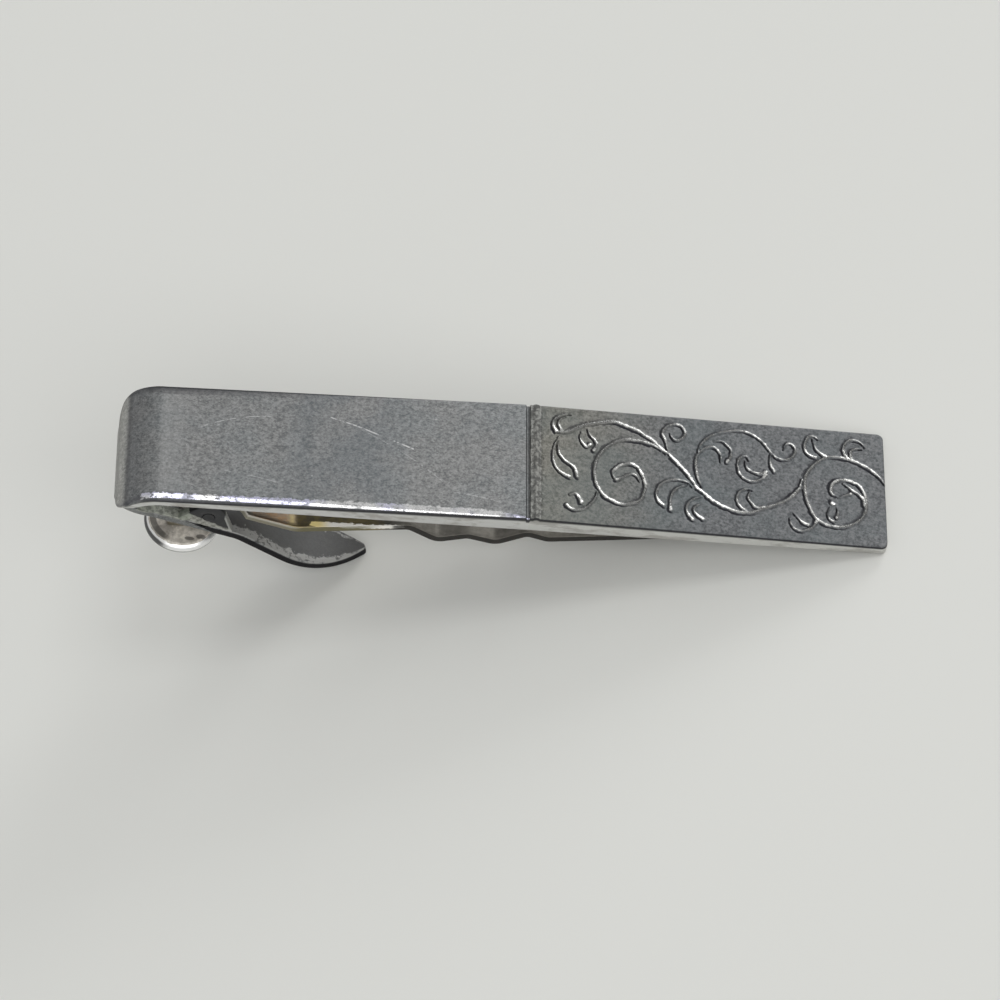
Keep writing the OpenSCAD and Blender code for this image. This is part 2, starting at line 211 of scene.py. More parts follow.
class Reading:
    """One output of a node. Plus, minus, times and divide on readings add Math nodes."""

    def __init__(self, tree, output):
        self.tree, self.output = tree, output

    def __add__(self, other):
        return calc("ADD", self, other)

    def __sub__(self, other):
        return calc("SUBTRACT", self, other)

    def __rsub__(self, other):
        return calc("SUBTRACT", other, self)

    def __mul__(self, other):
        return calc("MULTIPLY", self, other)

    def __truediv__(self, other):
        return calc("DIVIDE", self, other)

    __radd__, __rmul__ = __add__, __mul__

    def also(self, output):
        """Another output of the same node."""
        return Reading(self.tree, self.output.node.outputs[output])


def put(tree, socket, value):
    """Sets an input to a value, or links a reading to it."""
    if isinstance(value, Reading):
        tree.links.new(value.output, socket)
    else:
        socket.default_value = value


def read(tree, kind, inputs=None, output=0, **settings):
    """Adds one node with its settings and inputs, and reads one of its outputs."""
    node = tree.nodes.new(kind)
    for key, value in settings.items():
        setattr(node, key, value)
    for key, value in (inputs or {}).items():
        put(tree, node.inputs[key], value)
    return Reading(tree, node.outputs[output])


def tree_of(*values):
    """The node tree that the readings among some values belong to."""
    return next(value.tree for value in values if isinstance(value, Reading))


def calc(operation, *values):
    """One Math node."""
    return read(tree_of(*values), "ShaderNodeMath", dict(enumerate(values)), operation=operation)


def clamped(reading):
    """Keeps the result of a Math node between 0 and 1."""
    reading.output.node.use_clamp = True
    return reading


def vector(operation, first, second=(0, 0, 0), output=0):
    """One Vector Math node."""
    return read(first.tree, "ShaderNodeVectorMath", {0: first, 1: second}, output, operation=operation)


def ramp(value, low, high):
    """0 below low and 1 above high, with a smooth step between them, or the other way round."""
    return read(value.tree, "ShaderNodeMapRange", {"Value": value, "From Min": low, "From Max": high}, "Result",
                interpolation_type="SMOOTHSTEP")


def between(value, rise, full, last, end):
    """1 from full to last, and 0 before rise and after end."""
    return ramp(value, rise, full) * ramp(value, end, last)


def noise(where, scale, detail, roughness=0.5):
    """A noise whose features are about 1 / scale metres wide."""
    return read(where.tree, "ShaderNodeTexNoise", {"Vector": where, "Scale": scale, "Detail": detail,
                                                   "Roughness": roughness})


def mix(share, first, second):
    """A mix of two colours. Each is a reading, a written colour, or one number for a grey."""
    inputs = {0: share}
    for index, value in ((6, first), (7, second)):
        if not isinstance(value, Reading):
            value = (*value, 1) if isinstance(value, tuple) else (value, value, value, 1)
        inputs[index] = value
    return read(tree_of(*inputs.values()), "ShaderNodeMix", inputs, 2, data_type="RGBA")


def marks(tree, *names):
    """Marks stored on the mesh, read by a material."""
    return [read(tree, "ShaderNodeAttribute", None, "Fac", attribute_name=name) for name in names]


def object_spot(tree):
    """The place on the piece, in the frame's metres."""
    return read(tree, "ShaderNodeTexCoord", None, "Object")


def new_effect(name, inputs, outputs):
    """An empty shader group, with its named inputs as readings and its named outputs."""
    group = bpy.data.node_groups.new(name, "ShaderNodeTree")
    for label, value in inputs.items():
        group.interface.new_socket(label, in_out="INPUT", socket_type="NodeSocketFloat").default_value = value
    for label in outputs:
        group.interface.new_socket(label, in_out="OUTPUT", socket_type="NodeSocketFloat")
    given = group.nodes.new("NodeGroupInput").outputs
    readings = {label: Reading(group, given[label]) for label in inputs}
    return group, readings, group.nodes.new("NodeGroupOutput").inputs


def metal_grain():
    """Fine speckle of a metal surface, and the broad patches that it gathers in."""
    group, given, out = new_effect("metal grain", {"Scale": 3000.0, "Stretch": 1.0}, ("Speckle", "Patches"))
    spot = object_spot(group)
    squeeze = read(group, "ShaderNodeCombineXYZ", {"X": given["Stretch"], "Y": 1.0, "Z": 1.0})
    put(group, out["Speckle"], noise(vector("MULTIPLY", spot, squeeze), given["Scale"], 4.0, 0.65))
    put(group, out["Patches"], noise(spot, given["Scale"] * 0.1, 3.0))
    return group


def ragged_mask():
    """Turns a smooth value into a mask with a ragged border, for wear and tarnish and for painted highlights and
    shade.
    """
    group, given, out = new_effect("ragged mask", {"Value": 0.0, "Level": 0.5, "Ragged": 0.3, "Scale": 2500.0,
                                                   "Softness": 0.1}, ("Mask",))
    moved = (noise(object_spot(group), given["Scale"], 4.0, 0.7) - 0.5) * given["Ragged"] + given["Value"]
    level, softness = given["Level"], given["Softness"]
    put(group, out["Mask"], ramp(moved, level - softness, level + softness))
    return group


def line_scratch():
    """One scratch between two points of the bar's front, given in metres, that bows sideways and
    fades in places."""
    group, given, out = new_effect("line scratch", {"Start X": 0.0, "Start Y": 0.0, "End X": 0.001, "End Y": 0.0,
                                                    "Bow": 0.0, "Width": 0.00003}, ("Mask",))
    spot = object_spot(group)
    start, end = (read(group, "ShaderNodeCombineXYZ", {"X": given[which + " X"], "Y": given[which + " Y"]})
                  for which in ("Start", "End"))
    run = vector("SUBTRACT", end, start)
    here = vector("SUBTRACT", vector("MULTIPLY", spot, (1, 1, 0)), start)
    ahead = vector("NORMALIZE", run)
    along = vector("DOT_PRODUCT", here, ahead, "Value") / vector("LENGTH", run, output="Value")
    off = read(group, "ShaderNodeSeparateXYZ", {0: vector("CROSS_PRODUCT", ahead, here)}, "Z")
    arch = along * (1.0 - along) * 4.0
    on_line = ramp(calc("ABSOLUTE", off - arch * given["Bow"]), given["Width"], 0.0)
    kept = on_line * ramp(noise(spot, 2500.0, 2.0), 0.38, 0.56)
    put(group, out["Mask"], kept * between(along, 0.0, 0.05, 0.95, 1.0))
    return group


grain_group, ragged_group, scratch_group = metal_grain(), ragged_mask(), line_scratch()


def grain(tree, scale, stretch=1.0):
    """The speckle and the patches of metal grain, in a material."""
    speckle = read(tree, "ShaderNodeGroup", {"Scale": scale, "Stretch": stretch}, "Speckle", node_tree=grain_group)
    return speckle, speckle.also("Patches")


def ragged(value, level, amount, scale, softness):
    """A ragged mask of a value, in its material."""
    return read(value.tree, "ShaderNodeGroup", {"Value": value, "Level": level, "Ragged": amount, "Scale": scale,
                                                "Softness": softness}, "Mask", node_tree=ragged_group)


def new_finish(name):
    """A material and its node tree."""
    material = bpy.data.materials.new(name)
    material.use_nodes = True
    return material, material.node_tree


def dress(material, colour, rough, metallic, height, strength, depth):
    """Gives a material's shader its colour, roughness, metallic share and fine relief."""
    tree = material.node_tree
    shader = tree.nodes["Principled BSDF"].inputs
    normal = read(tree, "ShaderNodeBump", {"Height": height, "Strength": strength, "Distance": depth})
    for name, value in (("Base Color", colour), ("Roughness", rough), ("Metallic", metallic), ("Normal", normal)):
        put(tree, shader[name], value)
    return material


# each scratch is its start, its end, its bow, its width and its strength, in mm from the fold
bar_scratches = [((6.0, 1.5), (11.4, 2.8), 0.35, 0.07, 0.45), ((15.6, 3.05), (19.4, 1.62), 0.08, 0.08, 0.8),
                 ((20.4, 1.2), (22.0, 0.5), 0.0, 0.09, 0.9), ((17.9, 2.1), (24.5, -2.6), 0.3, 0.05, 0.3),
                 ((7.4, -2.2), (12.6, -3.3), 0.1, 0.05, 0.3), ((25.0, -3.2), (28.6, -3.9), 0.1, 0.06, 0.35)]


def plain_plate():
    """Satin nickel plate: fine speckle, a few scratches, a bevel that is worn and carries a painted highlight,
    painted shade inside the fold and the arm, and a black edge on the arm."""
    # along is mm along the fold and the arm, and on the bar it is minus the mm from the outside of the
    # fold. across is -1 at the near edge and 1 at the far one.
    material, tree = new_finish("satin plate")
    edge, face, along, across = marks(tree, "edge", "face", "along", "across")
    small, _ = grain(tree, 5200.0, 0.8)
    tiny, _ = grain(tree, 12000.0, 0.6)
    clouds, patches = grain(tree, 2400.0)
    tone = (small - 0.5) * 2.6 + ((clouds - 0.5) * 1.5 + 0.5)
    tone = clamped((tiny - 0.5) * 2.0 + tone)
    tint = ramp(patches, 0.38, 0.66)
    low_tone = mix(tint, (0.15, 0.154, 0.156), (0.145, 0.156, 0.16))
    high_tone = mix(tint, (0.335, 0.338, 0.335), (0.318, 0.328, 0.33))
    colour = mix(tone, low_tone, high_tone)
    middle = between(along, -23.0, -18.0, -14.5, -11.0) * ramp(patches, 0.3, 0.6)
    colour = mix(middle * 0.28, colour, (0.12, 0.135, 0.15))
    colour = mix(ramp(tiny, 0.66, 0.76) * 0.5, colour, 0.5)
    colour = mix(ramp(grain(tree, 1900.0)[0], 0.7, 0.75) * 0.6, colour, 0.6)
    front = ramp(face, 0.3, 0.1)
    for start, end, bow, width, strength in bar_scratches:
        line = read(tree, "ShaderNodeGroup", {
            "Start X": (start[0] - bar_len / 2) * mm, "Start Y": start[1] * mm,
            "End X": (end[0] - bar_len / 2) * mm, "End Y": end[1] * mm,
            "Bow": bow * mm, "Width": width * mm}, "Mask", node_tree=scratch_group)
        colour = mix(line * front * strength, colour, 0.75)
    # the outer bend of the fold is painted lighter than the band beside the flat, with a dark line of painted shade
    # between, as the bend's curve catches and loses the light
    on_sheet = ramp(face, 0.9, 0.6)
    round_end = ramp(along, 3.7, 4.5)
    bend_colour = mix(tone, mix(round_end, (0.3, 0.3, 0.28), (0.2, 0.2, 0.19)),
                      mix(round_end, (0.6, 0.6, 0.57), (0.4, 0.4, 0.38)))
    colour = mix(between(along, 2.8, 3.5, 7.0, 9.0) * on_sheet, colour, bend_colour)
    flat_start = between(along, -6.0, -3.6, 0.1, 0.45) * front
    colour = mix(flat_start * 0.22, colour, (0.42, 0.42, 0.415))
    bend_shade_line = between(along, 2.5, 2.9, 2.95, 3.25) * on_sheet
    colour = mix(bend_shade_line * 0.4, colour, 0.08)
    # the bar's side is painted light, a painted reflection of the pale floor, with dull smears
    smears, _ = grain(tree, 1300.0, 0.3)
    side_reflection_colour = mix(ramp(smears, 0.36, 0.56), (0.5, 0.485, 0.46), (0.72, 0.72, 0.71))
    side = between(face, 0.55, 0.75, 1.6, 1.85) * ramp(along, 4.0, 2.5)
    colour = mix(side, colour, side_reflection_colour)
    # the inside of the fold and of the arm is painted darker as shade, and dull; its rim is painted lighter where it
    # catches light, and is worn and pitted
    inside = ramp(face, 1.45, 1.65)
    colour = mix(inside * 0.85, colour, 0.12)
    near_rim = ragged(calc("ABSOLUTE", across), 0.68, 0.9, 1500.0, 0.05)
    pits = ragged(clouds, 0.42, 0.4, 3500.0, 0.08)
    rubbed = near_rim * (ramp(face, 1.15, 1.4) * ramp(along, 9.0, 10.5)) * pits
    colour = mix(rubbed * 0.85, colour, (0.4, 0.4, 0.39))
    # verdigris sits where the arm leaves the fold
    arm_root = between(along, 7.6, 9.2, 11.8, 13.6)
    green = ragged(arm_root, 0.45, 0.7, 2200.0, 0.12) * ramp(face, 1.25, 1.5)
    salt = mix(ramp(clouds, 0.4, 0.6), (0.2, 0.21, 0.18), (0.46, 0.48, 0.41))
    colour = mix(green * 0.9, colour, salt)
    # the arm's edge turns black, spreading down from its inner corner
    spread = ramp(along, 12.4, 16.4) * 1.15 + 0.12
    edge_side = between(face, 0.3, 0.5, 1.38, 1.5)
    black = ragged(face + (spread - 1.5), 0.0, 0.2, 1400.0, 0.07) * edge_side * ramp(along, 9.4, 11.0)
    colour = mix(black * 0.96, colour, (0.022, 0.021, 0.024))
    # the near bevel is worn and carries a ragged painted highlight, and it is painted dark where the highlight
    # breaks; the far bevel is painted dark as shade towards the fold
    on_bevel = ramp(face, 0.42, 0.3)
    bevel = ramp(edge, 0.25, 0.75) * on_bevel
    near = ramp(across, 0.3, -0.3)
    from_edge = across * (bar_w / 2) + bar_w / 2
    rub_width = ramp(along, -32.0, -26.0) * 0.58 + 0.1
    rub = ramp(from_edge / rub_width, 1.35, 0.75) * on_bevel * ramp(along, 1.9, 1.3)
    rub_level = ramp(along, -9.0, -14.0) * -0.07 + 0.76
    breaks = ramp(grain(tree, 1700.0, 0.55)[0], 0.36, 0.52)
    bevel_wear_and_highlight = ragged(rub, rub_level, 2.6, 3000.0, 0.18) * (breaks * 0.65 + 0.35)
    colour = mix(bevel_wear_and_highlight, colour, mix(ramp(patches, 0.45, 0.6), 0.82, (0.66, 0.66, 0.84)))
    unlit_bevel = clamped(bevel - bevel_wear_and_highlight) * near
    colour = mix(unlit_bevel * 0.6, colour, (0.1, 0.1, 0.11))
    shade = ramp(edge, 0.3, 0.8) * (1.0 - near) * ramp(along, -24.0, -4.0)
    colour = mix(shade * 0.7, colour, (0.07, 0.07, 0.075))
    # a thin dark line of painted shade runs along the bar's long rounded edges, and the groove beside the relief is
    # painted black as shade
    line = between(face, 0.25, 0.5, 0.6, 0.8) * ramp(along, 3.0, 0.5)
    colour = mix(line * 0.85, colour, (0.04, 0.04, 0.045))
    groove = ragged(ramp(along, -ridge_x + 0.2, -ridge_x + 0.1) * front, 0.5, 0.5, 2000.0, 0.2)
    colour = mix(groove * 0.6, colour, 0.05)
    rough = (small - 0.5) * 0.3 + 0.44 - bevel_wear_and_highlight * 0.2 + calc("MAXIMUM", black, inside) * 0.18
    metallic = 1.0 - calc("MAXIMUM", green * 0.8, rubbed * 0.5)
    height = tiny * 0.5 + small + rubbed * clouds * 3.0 + bevel * clouds * 1.5
    return dress(material, colour, rough, metallic, height, 0.3, 0.00004)


plain_stations = []
for x in np.concatenate([[ridge_x, ridge_x - groove_w / 3, ridge_x - groove_w * 0.66, ridge_x - groove_w],
                         np.linspace(ridge_x - groove_w - 0.1, fold_r + 0.3, 34)]):
    plain_stations.append(bar_station(x))
fold_turn = 180 - arm_slope
fold_centre = np.array([fold_r, sheet_t - fold_r])
# the bevel fades out over the first part of the fold, bevel_end degrees round it
for a in np.arange(0, fold_turn + 0.1, fold_turn / fold_steps):
    outwards = way(math.radians(a + 90))
    outer, inner = fold_centre + fold_r * outwards, fold_centre + (fold_r - sheet_t) * outwards
    w_out, w_in = fold_half_width(outer[1]), fold_half_width(inner[1])
    fade = max(0.0, 1 - a / bevel_end)
    plain_stations.append((outer, inner, w_out, w_in, max(least_bevel_w, bevel_w * fade),
                           max(least_bevel_h, bevel_h * fade), 0.0, fold_r * math.radians(a)))
point, along = (outer + inner) / 2, fold_r * math.radians(fold_turn)
heading = -arm_slope
arm_line = []
for run, radius, turn, count in ((arm_run, 0, 0, 12), (0, dip_r, -dip_turn, 8), (dip_run, 0, 0, 6),
                                 (0, tongue_r, tongue_turn, 36)):
    for k in range(count):
        if turn:
            step = turn / count
            chord = 2 * radius * math.sin(math.radians(abs(step) / 2))
            point = point + chord * way(math.radians(heading + step / 2))
            heading += step
            along += radius * math.radians(abs(step))
        else:
            point = point + run / count * way(math.radians(heading))
            along += run / count
        arm_line.append((point, heading, along))
tip_x = point[0]


def tongue_half_width(x):
    """Half the width of the arm seen from above, x mm from the fold. Its sides arch in to the tip."""
    half, reach, root = arm_w / 2, point_len - point_r, tip_x - point_len
    side_r = (reach ** 2 + half ** 2 - point_r ** 2) / (2 * (half - point_r))
    touch = root + side_r * math.sin(math.atan2(reach, side_r - half))
    if x <= root:
        return half
    if x <= touch:
        return half - side_r + math.sqrt(side_r ** 2 - (x - root) ** 2)
    return math.sqrt(max(0.0, point_r ** 2 - (x - tip_x + point_r) ** 2))


def arm_station(where, half, wide, inset, along):
    """A cross-section of the arm about a point of its middle line."""
    return (where - sheet_t / 2 * up, where + sheet_t / 2 * up, wide, wide, min(least_bevel_w, half / 3),
            least_bevel_h, inset, along)


# the tongue's tip closes in four last steps, each so many mm from its end
tip_steps, thin_step, least_half = (0.2, 0.09, 0.03, 0.008), 0.05, 0.05
for where, heading, along in arm_line:
    up = way(math.radians(heading + 90))
    half = tongue_half_width(where[0])
    if where[0] > tip_x - tip_steps[2]:
        break
    plain_stations.append(arm_station(where, half, half, 0.0, along))
for left_over in tip_steps:
    x = tip_x - left_over
    half = tongue_half_width(x)
    inset = max(0.0, least_bevel_w - half) * 0.7 if left_over < thin_step else 0.0
    spot = where + (x - where[0]) * way(math.radians(heading))
    plain_stations.append(arm_station(spot, half, max(half, least_half) + inset, inset, along + x - where[0]))
plain_sheet = loft_sheet("plain_sheet", plain_stations, 10)
plain_sheet.data.materials.append(plain_plate())
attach(plain_sheet, "bar")
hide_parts("front_bar")


# Relief half of the bar
# The right half is the same sheet, struck with a pattern: a raised bead beside the seam, then
# scrolling vine stems with split leaves on a grained ground. It thins towards the free end.
grid_step = 0.065
# each strand is its half width and its points: mm from the seam, and mm from the centre line
vine_strands = [
    # main stem and the hook that it starts from
    (0.2, (2.07, 2.87), (2.5, 2.91), (3.02, 3.08), (3.59, 3.43), (4.26, 3.78), (4.92, 3.97),
     (5.68, 4.16), (6.44, 4.24), (7.01, 4.07), (7.58, 3.84), (8.25, 3.56), (8.71, 3.21), (9.19, 2.91),
     (9.65, 2.44), (9.98, 2.08), (10.37, 1.79), (10.82, 1.3), (11.38, 0.67), (11.81, 0.15),
     (12.22, -0.49), (12.59, -1.13), (13.05, -1.54), (13.42, -1.91), (13.94, -2.31), (14.41, -2.59),
     (14.97, -2.82), (15.44, -2.98), (16.1, -3.04), (16.76, -2.96), (17.33, -2.72), (17.95, -2.35),
     (18.78, -1.99), (19.36, -1.64), (19.94, -1.03), (20.39, -0.39), (20.6, 0.36)),
    (0.15, (3.12, 4.58), (2.69, 4.52), (2.23, 4.34), (1.85, 3.94), (1.78, 3.38), (2.03, 2.9)),
    (0.12, (2.69, 4.35), (2.3, 4.03), (2.17, 3.6), (2.38, 3.07)),
    # leaves and a small curl under the hook
    (0.14, (2.17, 2.41), (1.85, 1.55), (1.76, 0.72), (1.84, 0), (2.07, -0.5), (2.45, -0.85),
     (2.92, -1.1)),
    (0.15, (2.17, 2.13), (2.16, 1.49), (2.23, 0.91), (2.47, 0.52), (2.78, 0.2), (3.16, -0.08),
     (3.43, -0.45), (3.56, -1)),
    (0.14, (3.88, 3.04), (3.82, 2.41), (4.03, 1.98), (4.3, 1.76), (4.53, 1.92)),
    (0.14, (4.35, 3.32), (4.55, 2.8), (4.91, 2.4), (5.05, 1.97), (4.82, 1.45)),
    # left spiral with its leaf, and the curl that leaves it
    (0.18, (9.91, 1.99), (9.46, 2.31), (8.99, 2.52), (8.43, 2.66), (7.86, 2.72), (7.19, 2.71),
     (6.53, 2.44), (5.97, 2.01), (5.47, 1.42), (5.08, 0.71), (4.9, -0.1), (4.89, -0.9), (5.06, -1.67),
     (5.34, -2.26), (5.73, -2.68), (6.27, -2.99), (6.86, -3.18), (7.7, -3.03), (8.27, -2.73),
     (8.59, -2.03), (8.69, -1.3), (8.54, -0.59), (8.3, -0.03), (7.96, 0.36), (7.55, 0.53), (6.98, 0.4),
     (6.51, 0.04), (6.24, -0.41), (6.33, -0.89)),
    (0.14, (8.24, -1.07), (8.07, -0.62), (7.73, -0.4), (7.35, -0.53), (6.88, -0.85), (6.48, -1.02)),
    (0.15, (5.04, -2.3), (4.92, -2.86), (4.58, -3.41), (4.16, -3.83), (3.66, -4.01), (3.11, -3.99),
     (2.75, -3.69)),
    (0.17, (2.98, -2.74), (3.38, -2.59), (3.67, -2.85), (3.85, -3.34)),
    # curl over the stem, and the leaves below it
    (0.15, (10.5, 1.57), (10.37, 2.29), (10.25, 2.96), (10.05, 3.5), (10.21, 3.97), (10.73, 4.41),
     (11.3, 4.45), (11.68, 4.08), (11.76, 3.58), (11.49, 3.2), (11.07, 3.02), (10.75, 3.25),
     (10.62, 3.55)),
    (0.14, (12.22, -1.13), (11.88, -0.75), (11.51, -0.62), (10.94, -0.58), (10.41, -0.71), (9.91, -1.05),
     (9.59, -1.62), (9.53, -2.21), (9.73, -2.7), (10.08, -3.01)),
    (0.14, (11.92, -1.01), (11.41, -1.17), (10.93, -1.53), (10.64, -2.13), (10.56, -2.81),
     (10.57, -3.33)),
    (0.15, (12.88, -1.97), (12.32, -2.22), (11.87, -2.74), (11.8, -3.34), (11.99, -3.77),
     (12.22, -4.02)),
    (0.14, (12.95, -2.57), (12.49, -2.85), (12.33, -3.25), (12.55, -3.61), (12.99, -3.94)),
    # middle spiral, its arc and the curls inside it
    (0.16, (12.95, -1.05), (12.72, -0.44), (12.59, 0.28), (12.54, 1), (12.64, 1.7), (13, 2.27),
     (13.5, 2.63), (13.95, 2.68), (14.25, 2.37), (14.47, 1.93), (14.43, 1.34)),
    (0.13, (13.93, 3.21), (14.47, 3.28), (14.92, 2.99), (15.25, 2.47), (15.2, 1.91), (14.92, 1.4)),
    (0.14, (12.69, 1.66), (12.86, 2.59), (13.25, 3.24), (13.78, 3.71), (14.4, 4.04), (15.05, 4.25),
     (15.67, 4.37), (16.24, 4.38), (16.76, 4.21), (17.3, 3.86), (17.77, 3.39), (18.1, 2.91),
     (18.45, 2.43), (18.9, 2.11), (19.46, 2.09), (19.92, 2.38), (20.17, 2.9), (20.05, 3.36),
     (19.69, 3.59), (19.37, 3.35), (19.27, 2.97)),
    (0.13, (18.24, 2.5), (18.21, 1.95), (18.27, 1.4), (18.5, 0.91)),
    (0.14, (16.57, 1.72), (16.4, 2.07), (16, 1.98), (15.76, 1.51), (15.76, 0.87), (15.96, 0.33),
     (16.37, -0.05), (16.92, -0.13), (17.5, 0.12), (17.85, 0.54)),
    (0.15, (16.29, 1.61), (16.39, 1.12), (16.64, 0.82), (16.99, 0.67), (17.41, 0.6), (17.87, 0.78)),
    (0.14, (16.79, -0.99), (16.34, -0.91), (15.89, -1.15), (15.64, -1.65), (15.66, -2.19),
     (15.92, -2.62), (16.27, -2.88)),
    (0.15, (16.6, -1.17), (16.48, -1.69), (16.76, -2.19), (17.15, -2.52), (17.63, -2.42)),
    # right spiral from the free end, with its leaves, berry and lower curl
    (0.18, (26.91, 0.54), (26.62, 1.08), (26.15, 1.57), (25.66, 1.97), (25.1, 2.26), (24.57, 2.52),
     (23.96, 2.66), (23.27, 2.72), (22.58, 2.61), (21.96, 2.2), (21.37, 1.57), (20.95, 0.85),
     (20.81, 0.01), (20.84, -0.84), (21, -1.65), (21.21, -2.31), (21.53, -2.95), (21.93, -3.31),
     (22.39, -3.55), (22.92, -3.64), (23.52, -3.61), (24.22, -3.39), (24.82, -2.97), (25.24, -2.39),
     (25.45, -1.66), (25.44, -0.98), (25.27, -0.26), (24.99, 0.22), (24.6, 0.49), (24.16, 0.65),
     (23.7, 0.67), (23.25, 0.54), (22.89, 0.13), (22.79, -0.31), (22.88, -0.71), (23.18, -0.91)),
    (0.15, (23.73, 0.31), (24.14, 0.02), (24.51, -0.29), (24.88, -0.54), (25.24, -0.96),
     (25.33, -1.49)),
    (0.11, (23.3, -1.04), (23.81, -0.78), (24.31, -0.54)),
    (0.15, (25.5, 3.79), (25.26, 4.16), (24.91, 4.36), (24.45, 4.4), (24.06, 4.11), (23.86, 3.59),
     (23.92, 3.08), (24.16, 2.64)),
    (0.14, (25.33, 3.59), (24.86, 3.62), (24.49, 3.45), (24.4, 2.94), (24.46, 2.55)),
    (0.15, (21.91, 4.2), (21.61, 4.45), (21.23, 4.38), (20.98, 3.92), (20.89, 3.37), (21.01, 2.91),
     (21.31, 2.65), (21.74, 2.52)),
    (0.14, (21.51, 4.16), (21.62, 3.73), (21.76, 3.3), (22.07, 2.95), (22.46, 2.68)),
    (0.22, (22.85, -1.56), (22.94, -1.65)),
    (0.11, (22.65, -1.89), (22.48, -2.45), (22.62, -3.02), (22.93, -3.22)),
    (0.11, (23.16, -1.9), (23.26, -2.37), (23.14, -2.84)),
    (0.14, (19.56, -3.29), (19.7, -3.81), (19.98, -4.15), (20.4, -4.28), (20.85, -4.15), (21.32, -3.86),
     (21.64, -3.26)),
    (0.14, (19.88, -2.77), (20.21, -3.15), (20.56, -3.48), (20.99, -3.67)),
]

relief_stations = []
for turned in (0, 30, 60, 90):
    sunk = edge_r * (1 - math.sin(math.radians(turned)))
    x = bar_len - edge_r * (1 - math.cos(math.radians(turned)))
    relief_stations.append(bar_station(x, sunk))
for x in np.concatenate([np.linspace(bar_len - edge_r - 0.02, bar_len - end_r, 8)[:-1],
                         np.linspace(bar_len - end_r, ridge_x, round((bar_len - end_r - ridge_x) / grid_step))]):
    relief_stations.append(bar_station(x))
relief_sheet = loft_sheet("relief_sheet", relief_stations, round(bar_w / 2 / grid_step))

vine = bpy.data.curves.new("vine", "CURVE")
vine.dimensions = "3D"
for half_width, *points in vine_strands:
    spline = vine.splines.new("BEZIER")
    spline.bezier_points.add(len(points) - 1)
    for k, (point, (x, y)) in enumerate(zip(spline.bezier_points, points)):
        z = ridge_t - (ridge_t - sheet_t) * x / (bar_len - ridge_x)
        point.co = framed(ridge_x + x, y, z)
        point.handle_left_type = point.handle_right_type = "AUTO"
        taper = min(1, 0.55 + 0.25 * min(k, len(points) - 1 - k))
        if len(points) <= 10 and k >= len(points) - 2:
            taper = 1.35 if k == len(points) - 1 else 1.15
        point.radius = half_width * taper
    spline.resolution_u = 8
vine_paths = add_object("vine_paths", vine)


def new_shaper(name, inputs):
    """An empty geometry tree with one shape as its result, and its named inputs as readings. An
    input is given as its kind, or as a number."""
    tree = bpy.data.node_groups.new(name, "GeometryNodeTree")
    tree.interface.new_socket("Shape", in_out="OUTPUT", socket_type="NodeSocketGeometry")
    for label, value in inputs.items():
        kind = value if isinstance(value, str) else "Float"
        socket = tree.interface.new_socket(label, in_out="INPUT", socket_type="NodeSocket" + kind)
        if kind == "Float":
            socket.default_value = value
    given = tree.nodes.new("NodeGroupInput").outputs
    return tree, {label: Reading(tree, given[label]) for label in inputs}


def close_shaper(shape, finish):
    """Ends a geometry tree: its shape is made real and takes its material."""
    tree = shape.tree
    real = read(tree, "GeometryNodeRealizeInstances", {"Geometry": shape})
    done = read(tree, "GeometryNodeSetMaterial", {"Geometry": real, "Material": finish})
    put(tree, tree.nodes.new("NodeGroupOutput").inputs[0], done)
    return tree


def run_tree(piece, tree, **inputs):
    """Runs a geometry tree on a piece with its named inputs set, and keeps the plain mesh."""
    modifier = piece.modifiers.new(tree.name, "NODES")
    modifier.node_group = tree
    for item in tree.interface.items_tree:
        key = item.name.replace(" ", "_").lower()
        if item.in_out == "INPUT" and key in inputs:
            modifier[item.identifier] = inputs[key]
    return settle(piece)


def named(tree, name):
    """A mark stored on the mesh, read by a geometry tree."""
    return read(tree, "GeometryNodeInputNamedAttribute", {"Name": name}, "Attribute", data_type="FLOAT")


def store(shape, name, value):
    """Stores a value on a shape's points."""
    return read(shape.tree, "GeometryNodeStoreNamedAttribute", {"Geometry": shape, "Name": name, "Value": value},
                data_type="FLOAT", domain="POINT")


def object_shape(given_object):
    """The shape of an object that a geometry tree is given."""
    return read(given_object.tree, "GeometryNodeObjectInfo", {"Object": given_object}, "Geometry",
                transform_space="RELATIVE")


